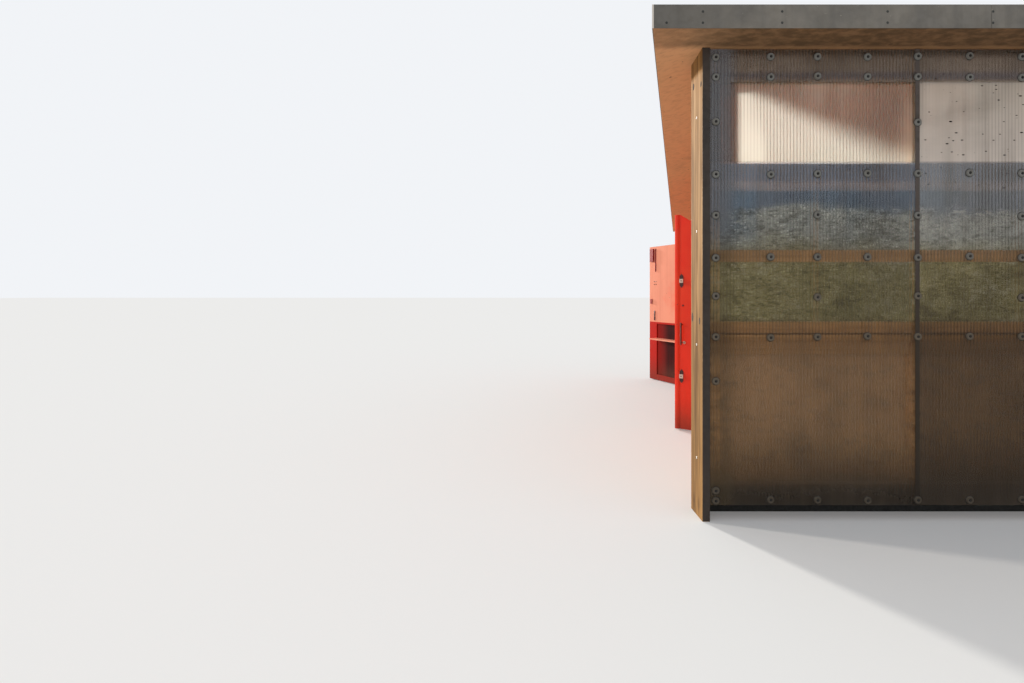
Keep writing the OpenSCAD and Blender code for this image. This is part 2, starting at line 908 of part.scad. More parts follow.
floor_slab();  // floor
plinths();
near_wall_panel();
near_wall_posts();
near_wall_beam();
near_wall_battens();
near_wall_infill();
near_wall_sheets();
near_end_board();
far_wall_panel();
far_wall_posts();
far_wall_beam();
far_wall_battens();
far_wall_infill();
far_wall_sheets();
rear_wall_panel();
rear_wall_posts();
rear_wall_beam();
rear_wall_battens();
rear_wall_infill();
rear_wall_sheets();
joint_strips();
corner_boards();
front_wall_panel();
front_wall_pier();
front_wall_head();
front_wall_posts();
front_wall_sheet();
door_jambs();
roof_deck();
roof_bed();
near_fascia();
front_fascia();
far_fascia();
rear_fascia();
frame_hinges();
near_door_leaf();
near_door_hinges();
near_door_handle();
near_door_hasps();
far_door_leaf();
far_door_hinges();
far_door_bolt();
far_door_shelf();
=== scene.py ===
import math
import random
from functools import cache

import bmesh
import bpy
from bpy.props import FloatProperty, FloatVectorProperty, IntProperty, PointerProperty
from bpy.types import Operator, Panel, PropertyGroup
from mathutils import Matrix, Vector
from mathutils.bvhtree import BVHTree


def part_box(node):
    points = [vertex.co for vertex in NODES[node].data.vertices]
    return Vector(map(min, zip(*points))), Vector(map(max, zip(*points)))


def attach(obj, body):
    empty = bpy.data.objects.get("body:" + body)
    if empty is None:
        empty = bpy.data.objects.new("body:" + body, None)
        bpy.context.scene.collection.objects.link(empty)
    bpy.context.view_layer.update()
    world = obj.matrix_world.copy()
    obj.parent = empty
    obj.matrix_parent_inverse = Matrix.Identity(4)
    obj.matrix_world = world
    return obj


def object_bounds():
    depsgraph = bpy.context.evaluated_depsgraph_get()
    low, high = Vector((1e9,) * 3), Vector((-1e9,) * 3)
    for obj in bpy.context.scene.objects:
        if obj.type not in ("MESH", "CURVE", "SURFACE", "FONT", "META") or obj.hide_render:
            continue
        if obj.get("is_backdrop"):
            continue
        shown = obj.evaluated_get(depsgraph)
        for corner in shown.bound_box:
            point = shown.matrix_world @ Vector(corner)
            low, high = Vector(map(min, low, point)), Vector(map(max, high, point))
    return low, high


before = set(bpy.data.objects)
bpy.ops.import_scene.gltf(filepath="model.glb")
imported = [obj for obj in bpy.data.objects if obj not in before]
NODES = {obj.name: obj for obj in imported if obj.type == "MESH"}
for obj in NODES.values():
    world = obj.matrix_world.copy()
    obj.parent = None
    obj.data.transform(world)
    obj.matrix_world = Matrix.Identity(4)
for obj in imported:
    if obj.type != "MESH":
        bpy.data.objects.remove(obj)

bl_info = {
    "name": "Beach Hut Finish",
    "version": (1, 0),
    "blender": (4, 5, 0),
    "location": "View3D > Sidebar > Beach Hut",
    "description": "Dresses the beach hut's frame and sets the stage around it",
    "category": "Object",
}

X_AXIS, Y_AXIS, Z_AXIS = Vector((1, 0, 0)), Vector((0, 1, 0)), Vector((0, 0, 1))


# Sizes and colours

def length(name, description, default):
    """A size in metres that a user can change."""
    return FloatProperty(
        name=name, description=description, default=default, min=0, unit="LENGTH"
    )


def number(name, description, default):
    """A number of pieces that a user can change."""
    return IntProperty(name=name, description=description, default=default, min=1)


def colour(name, description, default):
    """A colour that a user can change."""
    return FloatVectorProperty(
        name=name, description=description, default=default,
        size=3, min=0, max=1, subtype="COLOR",
    )


class HutSizes(PropertyGroup):
    """Sizes of the small pieces that finish the hut"""

    button_r: length("Button radius", "Radius of the round washers on the sheets", 0.022)
    button_h: length("Button height", "How far the washers stand off the sheets", 0.009)
    sheet_gap: length("Sheet gap", "Gap between two cladding sheets", 0.010)
    flute_pitch: length("Flute pitch", "Distance between two ribs of a sheet", 0.020)
    upright_w: length("End batten width", "Width of the battens at a wall's ends", 0.070)
    joint_upright_w: length("Joint batten width", "Width of the battens at the joints", 0.045)
    middle_batten_w: length("Middle batten width", "Width of a sheet's middle batten", 0.042)
    near_sheets: number("Near sheets", "Sheets along the near wall", 3)
    far_sheets: number("Far sheets", "Sheets along the far wall", 2)
    rear_sheets: number("Rear sheets", "Sheets along the rear wall", 4)
    screw_r: length("Screw radius", "Radius of a screw's head", 0.0075)
    screw_h: length("Screw height", "Height of a screw's head", 0.002)
    fixing_h: length("Fixing height", "Height of the flush heads on the fascia", 0.0003)
    pebble_r: length("Pebble radius", "Mean radius of a pebble or shell", 0.0095)
    pebble_step: length("Pebble spacing", "Mean distance between two pebbles", 0.026)
    strip_t: length("Edge strip thickness", "Thickness of the boards' edge strips", 0.002)
    fixing_step: length("Fascia fixing step", "Distance between two pairs of fixings", 0.60)
    tuft_step: length("Tuft spacing", "Mean distance between two plants on the roof", 0.13)
    floor_board_w: length("Floor board width", "Width of one floor board", 0.12)
    floor_board_t: length("Floor board thickness", "Thickness of the floor boards", 0.005)


class HutColours(PropertyGroup):
    """Colours of the hut's finishes"""

    board_light: colour("End board", "Sunlit timber of the end boards", (0.31, 0.168, 0.057))
    board_dark: colour("End board grain", "Grain lines of the end boards", (0.135, 0.070, 0.026))
    panel_light: colour("Wall panel", "Timber of the wall panels", (0.52, 0.31, 0.16))
    panel_dark: colour("Wall panel grain", "Grain of the wall panels", (0.33, 0.18, 0.08))
    batten_light: colour("Batten", "Timber of the battens", (0.80, 0.42, 0.16))
    batten_dark: colour("Batten grain", "Grain of the battens", (0.50, 0.24, 0.08))
    soffit_light: colour("Soffit", "Underside of the roof deck", (0.70, 0.36, 0.165))
    soffit_dark: colour("Soffit grain", "Grain of the roof deck", (0.36, 0.18, 0.075))
    fascia_light: colour("Fascia", "Weathered metal of the fascia", (0.235, 0.212, 0.178))
    fascia_dark: colour("Fascia stain", "Stains on the fascia", (0.130, 0.122, 0.108))
    paint: colour("Door paint", "Red paint of the doors", (0.92, 0.036, 0.010))
    paint_worn: colour("Worn paint", "Paint where it has faded", (0.93, 0.085, 0.030))
    # Pale as a painted sunlit highlight
    paint_sunlit: colour("Inner paint", "Paint inside the far leaf, pale as a painted highlight", (0.84, 0.32, 0.21))
    # Dark as painted shade
    paint_shaded: colour("Recess paint", "Painted shade around the far leaf's recess", (0.50, 0.016, 0.010))
    haze_top: colour("Top haze", "Dusty sheets right under the roof", (0.36, 0.28, 0.22))
    haze_high: colour("High haze", "Cloudy sheets of the clerestory", (0.265, 0.23, 0.195))
    # Pale as painted light from the room behind the clerestory
    haze_room_light: colour("Pale haze", "Clerestory over the room, pale as painted light from it", (1.0, 0.89, 0.79))
    # Blue as a painted reflection of the sky
    haze_sill_sky: colour("Sill haze", "Sheets over the sill batten, blue as a painted sky reflection", (0.42, 0.47, 0.56))
    haze_lilac: colour("Band haze", "Pale band under the sill batten", (0.60, 0.57, 0.60))
    # Blue as a painted reflection of the sky
    haze_gap_sky: colour("Upper haze", "Sheets over the upper tray's gap, blue as a painted sky reflection", (0.34, 0.40, 0.48))
    haze_grey: colour("Shingle haze", "Cloudy sheets over the upper tray", (0.90, 0.90, 0.80))
    haze_tray: colour("Tray haze", "Cloudy sheets over the lower tray", (0.66, 0.555, 0.255))
    haze_mid: colour("Middle haze", "Cloudy sheets at half height", (0.46, 0.27, 0.135))
    # Dirt tone; near the ground and along the ribs it is also painted shade
    haze_dirt_and_shade: colour("Low haze", "Dark sheets near the ground, dirty and in painted shade", (0.085, 0.064, 0.046))
    stage: colour("Stage", "Floor around the hut", (0.70, 0.71, 0.72))


def sizes():
    return bpy.context.scene.hut_sizes


def colours():
    return bpy.context.scene.hut_colours


# Places, counts and shares of the pieces; lengths are in metres

# Low and high edges of the two trays in each clad wall
TRAYS = ((1.210, 1.572), (1.646, 2.009))
# Mean height up to which the shingle fills the upper tray
FILL_TOP = 1.905
# Height below which the pebbles turn olive
OLIVE_BELOW = 1.62
# Room free of pebbles along the edges of a bay and a tray, and the batches in a bay
TRAY_MARGIN = 0.012
BATCHES = 4
# Shares of a sheet at which its button columns stand; the first sheet's are uneven
FIRST_SHARES = (0.0, 0.272, 0.504, 0.752)
EVEN_SHARES = (0.0, 0.25, 0.5, 0.75)
# Heights of the button rows: every column, every second column, joints and ends
FULL_ROWS = (0.131, 1.119, 1.600, 2.105)
SPARE_ROWS = (1.361, 1.851)
JOINT_ROWS = (2.414,)
END_ROWS = (0.189, 0.850)
# Drops of the top rows below the sheets' top edge, on the near wall and on the others
TALL_DROPS = (0.047, 0.171)
SHORT_DROPS = (0.034,)
# Height at which the boards' edge strips start, and their bevel
STRIP_FOOT = 0.004
STRIP_BEVEL = 0.0006
# How far the end boards' screws stand from the edge, and their heights, the last of
# them only on the near board
SCREW_INSET = 0.0975
SCREW_HEIGHTS = (0.356, 1.063, 1.768, 2.477)
# Knots of the near end board: distance from its outer edge, height and half sizes
BOARD_KNOTS = (
    (0.151, 2.691, 0.013, 0.022),
    (0.024, 2.658, 0.012, 0.019),
    (0.171, 1.230, 0.016, 0.029),
    (0.049, 1.212, 0.011, 0.022),
)
# Gap between two floor boards
BOARD_GAP = 0.003
# Depths of the two rows of fixings below the fascia's top edge
FIXING_DROPS = (0.040, 0.104)
# Distances along a roof edge of its lone fixing and its first two pairs, and the
# least room past its last pair
LONE_FIXING, FIRST_PAIR, SECOND_PAIR, END_ROOM = 0.083, 0.29, 0.741, 0.1
# Length of the near fascia's tip that is painted bright as a highlight
LIT_TIP = 0.010
# Upward share of a bed's normal below which nothing grows, and the part of the
# tufts that have stems
STEEPEST, STEMMED = 0.8, 0.6
# Height above the far leaf's shelf up to which its recess is painted deep red as shade
RECESS_OVER_SHELF = 0.25
# Distances along the far leaf between which the painted shade in its recess fades
RECESS_SHADE = (2.82, 3.12)
# Thickness of the hasps' straps, which their lugs stand on
STRAP_T = 0.006
# Places of the small fittings, near the leaves' faces at rest
LOCK_DOTS = (
    (-1.5346, 2.7988, 1.555), (-1.5180, 2.7600, 1.555),
    (-1.5346, 2.7988, 1.510), (-1.5180, 2.7600, 1.510),
)
LATCH_STRIP = (-1.5300, 2.7880, 1.02)
KEYHOLE = (-2.0670, -0.1540, 1.254)
PULL_RING = (-2.0560, -0.1610, 0.882)


# Node trees

class Value:
    """One output of a node; it adds, subtracts and multiplies like a number."""

    def __init__(self, graph, node, output=0):
        self.graph = graph
        self.node = node
        self.socket = node.outputs[output]

    def __getitem__(self, output):
        return Value(self.graph, self.node, output)

    def __add__(self, other):
        return self.graph.math("ADD", self, other)

    def __sub__(self, other):
        return self.graph.math("SUBTRACT", self, other)

    def __rsub__(self, other):
        return self.graph.math("SUBTRACT", other, self)

    def __mul__(self, other):
        return self.graph.math("MULTIPLY", self, other)

    __radd__ = __add__
    __rmul__ = __mul__


class Graph:
    """A node tree under construction. Its patterns read the vector in place."""

    def __init__(self, tree):
        self.tree = tree

    def feed(self, socket, source):
        """Link a socket to a value, or set it to a number or a colour."""
        if isinstance(source, Value):
            self.tree.links.new(source.socket, socket)
        elif socket.type == "RGBA" and len(source) == 3:
            socket.default_value = (*source, 1)
        else:
            socket.default_value = source

    def node(self, kind, inputs=None, **settings):
        """Add a node, set its properties and feed its inputs by name or place."""
        node = self.tree.nodes.new("ShaderNode" + kind)
        for key, value in settings.items():
            setattr(node, key, value)
        for key, source in (inputs or {}).items():
            self.feed(node.inputs[key], source)
        return Value(self, node)

    def math(self, operation, a, b=0.0, clamp=False):
        return self.node("Math", {0: a, 1: b}, operation=operation, use_clamp=clamp)

    def mix(self, factor, a, b, blend="MIX"):
        """Mix two colours."""
        inputs = {"Factor": factor, 6: a, 7: b}
        return self.node("Mix", inputs, data_type="RGBA", blend_type=blend)[2]

    def coats(self, tone, *coats):
        """Lay coats of (mask, colour) over a tone, one after the other."""
        for mask, coat in coats:
            tone = self.mix(mask, tone, coat)
        return tone

    def stretch(self, scale, vector=None, location=(0, 0, 0), rotation=(0, 0, 0)):
        return self.node("Mapping", {
            "Vector": vector or self.place, "Scale": scale,
            "Location": location, "Rotation": rotation,
        })

    def noise(self, scale, detail=4.0, roughness=0.55, distortion=0.0, vector=None, **lie):
        """Noise at a scale; one of three numbers stretches it."""
        if isinstance(scale, tuple):
            vector = self.stretch(scale, vector, **lie)
            scale = 1.0
        return self.node("TexNoise", {
            "Vector": vector or self.place, "Scale": scale, "Detail": detail,
            "Roughness": roughness, "Distortion": distortion,
        })["Fac"]

    def ramp(self, value, low, high, start=0.0, end=1.0):
        """Map a value from low..high to start..end, smoothly and clamped."""
        return self.node("MapRange", {
            "Value": value, "From Min": low, "From Max": high, "To Min": start, "To Max": end,
        }, interpolation_type="SMOOTHSTEP")

    def band(self, value, low, high, soft=0.003):
        """One between two values, with soft edges, and nothing elsewhere."""
        rise = self.ramp(value, low - soft, low + soft)
        return rise * self.ramp(value, high + soft, high - soft)

    def colour_ramp(self, value, points):
        """Read a table of (place, colour) at a value."""
        ramp = self.node("ValToRGB", {"Fac": value})
        elements = ramp.node.color_ramp.elements
        for element, (place, tone) in ((elements[0], points[0]), (elements[-1], points[-1])):
            element.position = place
            element.color = (*tone, 1)
        for place, tone in points[1:-1]:
            elements.new(place).color = (*tone, 1)
        return ramp

    def axis(self, name, vector=None):
        return self.node("SeparateXYZ", {0: vector or self.place})[name]

    def along(self, direction):
        """How far a place lies along a direction."""
        inputs = {0: self.place, 1: direction}
        return self.node("VectorMath", inputs, operation="DOT_PRODUCT")["Value"]

    def effect(self, maker, **inputs):
        """Put in a shared effect. It reads the place unless it gets another Vector."""
        return self.node("Group", {"Vector": self.place, **inputs}, node_tree=maker())


# Shared effects, each a node group that is built once

class Effect(Graph):
    """A shared effect under construction; its first input is Vector."""

    KINDS = {
        "Vector": "NodeSocketVector", "Light": "NodeSocketColor",
        "Dark": "NodeSocketColor", "Color": "NodeSocketColor",
    }

    def __init__(self, name, outputs, **inputs):
        super().__init__(bpy.data.node_groups.new(name, "ShaderNodeTree"))
        for label in ("Vector", *inputs):
            socket = self.new_socket(label, "INPUT")
            if inputs.get(label) is not None:
                socket.default_value = inputs[label]
        for label in outputs:
            self.new_socket(label, "OUTPUT")
        self.given = Value(self, self.tree.nodes.new("NodeGroupInput"))
        self.place = self.given["Vector"]
        self.result = self.tree.nodes.new("NodeGroupOutput")

    def new_socket(self, label, way):
        kind = self.KINDS.get(label, "NodeSocketFloat")
        return self.tree.interface.new_socket(name=label, in_out=way, socket_type=kind)

    def scattered(self, stretch, scale, channel):
        """Random cells, and a mask of those that Amount chooses."""
        cells = self.node("TexVoronoi", {"Vector": self.stretch(stretch), "Scale": scale})
        amount = self.given["Amount"]
        chosen = self.ramp(self.axis(channel, cells["Color"]), amount, amount - 0.02)
        return cells, chosen

    def give(self, **results):
        for label, source in results.items():
            self.feed(self.result.inputs[label], source)
        return self.tree


@cache
def grain():
    """Long grain along the vector's Z: a colour and a height."""
    g = Effect("Timber Grain", ("Color", "Height"), Light=None, Dark=None, Contrast=1.0)
    dark, contrast = g.given["Dark"], g.given["Contrast"]
    rings = g.noise((26, 26, 0.9), detail=5, distortion=0.6)
    height = rings * 0.65 + g.noise((190, 190, 4), detail=3) * 0.35
    lines = g.ramp(height, 0.40, 0.62)
    bands = g.ramp(g.noise((12, 12, 1.7), detail=3), 0.52, 0.70, 0, 0.55)
    toned = g.coats(
        g.given["Light"],
        (g.math("MULTIPLY", lines, contrast, clamp=True), dark),
        (g.math("MULTIPLY", bands, contrast, clamp=True), dark),
    )
    patches = g.ramp(g.noise((3, 3, 0.5), detail=2), 0.35, 0.7, 1.08, 0.86)
    shaded = g.node("VectorMath", {0: toned, "Scale": patches}, operation="SCALE")
    return g.give(Color=shaded, Height=height)


@cache
def knot_marks():
    """Scattered knots in timber whose grain runs along the vector's Z."""
    g = Effect("Knots", ("Mask", "Ring"), Amount=0.25)
    cells, chosen = g.scattered((11, 11, 4.2), 1.0, "X")
    heart = g.ramp(cells["Distance"], 0.17, 0.09)
    ring = g.ramp(cells["Distance"], 0.34, 0.16)
    return g.give(Mask=heart * chosen, Ring=ring * chosen)


@cache
def streaks():
    """Dirt that runs down a wall in uneven streaks."""
    g = Effect("Streaks", ("Mask",), Amount=0.5)
    dirt = g.noise((16, 16, 0.55)) * 0.6 + g.noise(1.6, detail=5, roughness=0.6) * 0.4
    return g.give(Mask=g.ramp(dirt, 0.42, 0.66) * g.given["Amount"])


@cache
def specks():
    """Small scattered specks of dirt."""
    g = Effect("Specks", ("Mask",), Scale=24.0, Amount=0.12)
    cells, chosen = g.scattered((1, 1, 1.5), g.given["Scale"], "Y")
    size = g.axis("Z", cells["Color"]) * 0.16
    return g.give(Mask=g.ramp(cells["Distance"], size + 0.05, size) * chosen)


@cache
def ground_dirt():
    """Dirt that rises from the ground with a ragged upper edge."""
    g = Effect("Ground Dirt", ("Mask",), Top=0.5, Amount=0.8)
    z = g.axis("Z") + g.noise(2.2, detail=5) * -0.35
    return g.give(Mask=g.ramp(z, g.given["Top"], -0.2) * g.given["Amount"])


# Materials

class Finish(Graph):
    """A material under construction around one Principled shader."""

    def __init__(self, name, **constants):
        self.material = bpy.data.materials.new(name)
        self.material.use_nodes = True
        super().__init__(self.material.node_tree)
        self.shader = Value(self, self.tree.nodes["Principled BSDF"])
        self.place = self.node("TexCoord")["Object"]
        self.set(**constants)

    def set(self, **sources):
        """Feed the shader's inputs; a _ in a name stands for a space."""
        for key, source in sources.items():
            self.feed(self.shader.node.inputs[key.replace("_", " ")], source)

    def done(self, tone, roughness=None, bump=None):
        """Set the colour, roughness and a bump of (height, strength, distance)."""
        self.set(Base_Color=tone)
        if roughness is not None:
            self.set(Roughness=roughness)
        if bump is not None:
            inputs = dict(zip(("Height", "Strength", "Distance"), bump))
            self.set(Normal=self.node("Bump", inputs))
        return self.material


# Turns that lay the grain, which runs along Z, along X or along Y
GRAIN_TURNS = {"Z": (0, 0, 0), "X": (0, math.pi / 2, 0), "Y": (math.pi / 2, 0, 0)}


def timber(name, light, dark, along, contrast=1.0, knots=0.0, dirt=0.3, ground=0.0, sheen=0.5):
    """Timber with its grain along one axis, knots, runs of dirt and ground dirt."""
    f = Finish(name, Specular_IOR_Level=sheen)
    lie = f.stretch((1, 1, 1), rotation=GRAIN_TURNS[along])
    wood = f.effect(grain, Vector=lie, Light=light, Dark=dark, Contrast=contrast)
    tone, height = wood["Color"], wood["Height"]
    if knots:
        knot = f.effect(knot_marks, Vector=lie, Amount=knots)
        tone = f.coats(tone, (knot["Ring"], dark), (knot["Mask"], dark * 0.3))
    if dirt:
        tone = f.mix(f.effect(streaks, Amount=dirt), tone, dark * 0.55)
    if ground:
        tone = f.mix(f.effect(ground_dirt, Top=ground, Amount=0.7), tone, dark * 0.35)
    return f.done(tone, f.ramp(height, 0.3, 0.7, 0.62, 0.84), (height, 0.35, 0.002))


# Tone of the roof's underside towards the rear, where the red doors shine on it
WARM_SOFFIT = (0.82, 0.33, 0.125)
# Tone of the painted shade on the underside outside the near wall, and the two tones of the felt
# on top
SOFFIT_SHADE = (0.075, 0.042, 0.014)
FELT = (0.060, 0.062, 0.060), (0.035, 0.037, 0.034)


def strand_board(name, light, dark, shaded_below):
    """Board pressed from wood strands: slanting mottles, blots and dark nicks.

    Outside the near wall, below the edge it is given along Y, it is darkened
    as painted shade.
    Its upper face is covered in dark felt.
    """
    f = Finish(name, Roughness=0.8)
    x, y = f.axis("X"), f.axis("Y")
    lie = f.stretch((1, 1, 1), rotation=(0, 0, 0.7))
    strands = f.noise((20, 46, 20), distortion=0.4, vector=lie)
    clouds = f.noise(2.6, detail=5, roughness=0.6)
    # Painted shade on the underside outside the near wall, with blotchy edges
    soffit_shade = f.ramp(x + clouds * 0.8, -2.95, -2.0)
    soffit_shade = soffit_shade * f.ramp(y, shaded_below + 0.03, shaded_below - 0.03)
    blots = f.noise((9, 22, 9), detail=5, roughness=0.65)
    soffit_shade = soffit_shade * f.ramp(blots, 0.34, 0.62, 0.74, 1.0)
    tone = f.coats(
        light,
        (f.ramp(y, -1.4, 1.2), WARM_SOFFIT),
        (f.ramp(strands, 0.42, 0.74, 0.0, 0.34), dark),
        (f.ramp(clouds, 0.50, 0.78, 0.0, 0.4), dark * 0.8),
        (f.effect(specks, Vector=lie, Scale=16.0, Amount=0.10) * 0.6, dark * 0.3),
        # painted shade outside the near wall
        (soffit_shade * 0.90, SOFFIT_SHADE),
    )
    upward = f.axis("Z", f.node("NewGeometry")["True Normal"])
    felt = f.mix(f.ramp(clouds, 0.4, 0.7), *FELT)
    return f.done(f.mix(f.ramp(upward, 0.4, 0.6), tone, felt), bump=(strands, 0.2, 0.002))


def haze_bands(sill, rail):
    """Tones of the sheets from the ground up, as (height, colour, veil, flutes)."""
    c = colours()
    low, mid, top = c.haze_dirt_and_shade, c.haze_mid, c.haze_top
    rail_line = (0.31, 0.265, 0.27)
    return (
        # The lowest rows darken towards the ground: dirt, with painted shade near the ground
        (0.10, low * 0.6, 0.40, 0.3),
        (0.20, low * 0.9, 0.34, 0.3),
        (0.32, mid * 0.55, 0.20, 0.2),
        (0.50, mid * 0.93, 0.15, 0.12),
        (0.99, mid, 0.15, 0.12),
        (1.01, mid * 0.62, 0.20, 0.2),
        (1.08, mid * 0.62, 0.20, 0.2),
        (1.086, mid * 0.38, 0.22, 0.3),
        (1.098, mid * 0.52, 0.17, 0.3),
        (1.20, mid * 0.52, 0.17, 0.3),
        (1.23, c.haze_tray, 0.15, 1.0),
        (1.58, c.haze_tray, 0.15, 1.1),
        (1.74, c.haze_grey, 0.15, 2.0),
        (1.86, c.haze_grey, 0.17, 2.1),
        # Blue rows over the upper tray's gap: painted reflection of the sky
        (1.92, c.haze_gap_sky, 0.24, 1.8),
        (2.000, c.haze_gap_sky, 0.27, 1.8),
        (2.008, c.haze_lilac, 0.28, 1.8),
        (2.056, c.haze_lilac, 0.28, 1.8),
        # Blue rows over the sill batten and the clerestory: painted reflection of the sky
        (2.064, c.haze_sill_sky, 0.30, 2.2),
        (sill - 0.004, c.haze_sill_sky, 0.30, 2.2),
        (sill + 0.01, c.haze_sill_sky, 0.30, 1.9),
        (rail - 0.01, c.haze_sill_sky, 0.30, 1.6),
        (rail + 0.008, top * 1.35, 0.29, 1.3),
        (rail + 0.022, top * 1.35, 0.29, 1.3),
        (rail + 0.030, rail_line, 0.29, 1.7),
        (rail + 0.066, rail_line, 0.29, 1.7),
        (rail + 0.076, top * 1.35, 0.29, 1.3),
        (rail + 0.150, top * 1.35, 0.29, 1.3),
        # The last rows paint the shade under the roof's edge
        (rail + 0.190, top * 0.4, 0.30, 1.0),
        (3.0, top * 0.4, 0.30, 1.0),
    )


def read_bands(f, height, bands):
    """Read a table of (height, colour, veil, flutes) at a height: three values."""
    span = bands[-1][0]
    part = f.math("DIVIDE", height, span)
    tone = f.colour_ramp(part, [(row[0] / span, row[1]) for row in bands])
    rest = f.colour_ramp(part, [(row[0] / span, (row[2], row[3], 0)) for row in bands])
    parts = f.node("SeparateColor", {0: rest})
    return tone, parts["Red"], parts["Green"]


def shingle_marks(f, z):
    """Masks of the dark gaps, painted shade between the pebbles, and of the pale flecks
    that show where the trays are filled.
    """
    trays = f.band(z, *TRAYS[0]) + f.band(z, TRAYS[1][0], 1.90, 0.02)
    heaps = (f.noise((4, 4, 13), detail=3, location=(7, 0, 0)) - 0.5) * 0.55
    grit = f.noise((27, 27, 66), detail=3, roughness=0.6) + heaps
    gap_shade = f.ramp(grit, 0.50, 0.34) * trays
    flecks = f.ramp(grit, 0.55, 0.67) * trays * f.ramp(z, 1.45, 1.80, 0.45, 1.0)
    return gap_shade, flecks


def ribs_and_flutes(f, along, flutes, lit, past_joint):
    """Masks of the ribs' own faces and of the dark flutes that repeat along an axis:
    both are painted shade of the ribs.
    """
    turned_along = f.axis(along, f.node("NewGeometry")["True Normal"])
    rib_shade = f.ramp(f.math("ABSOLUTE", turned_along), 0.6, 0.8)
    rib_shade = rib_shade * f.ramp(flutes, 0.2, 1.0, 0.3, 1.0) * f.ramp(lit, 0, 1, 1.0, 0.45)
    angle = f.axis(along) * (2 * math.pi / sizes().flute_pitch)
    wave = f.ramp(f.math("COSINE", angle), 0.0, 0.95)
    strength = f.ramp(f.noise((2.6, 2.6, 0.6), detail=2), 0.38, 0.62, 0.10, 0.75)
    strength = strength * flutes * f.ramp(past_joint * lit, 0, 1, 1, 0.3)
    return rib_shade, f.math("MULTIPLY", wave, strength, clamp=True)


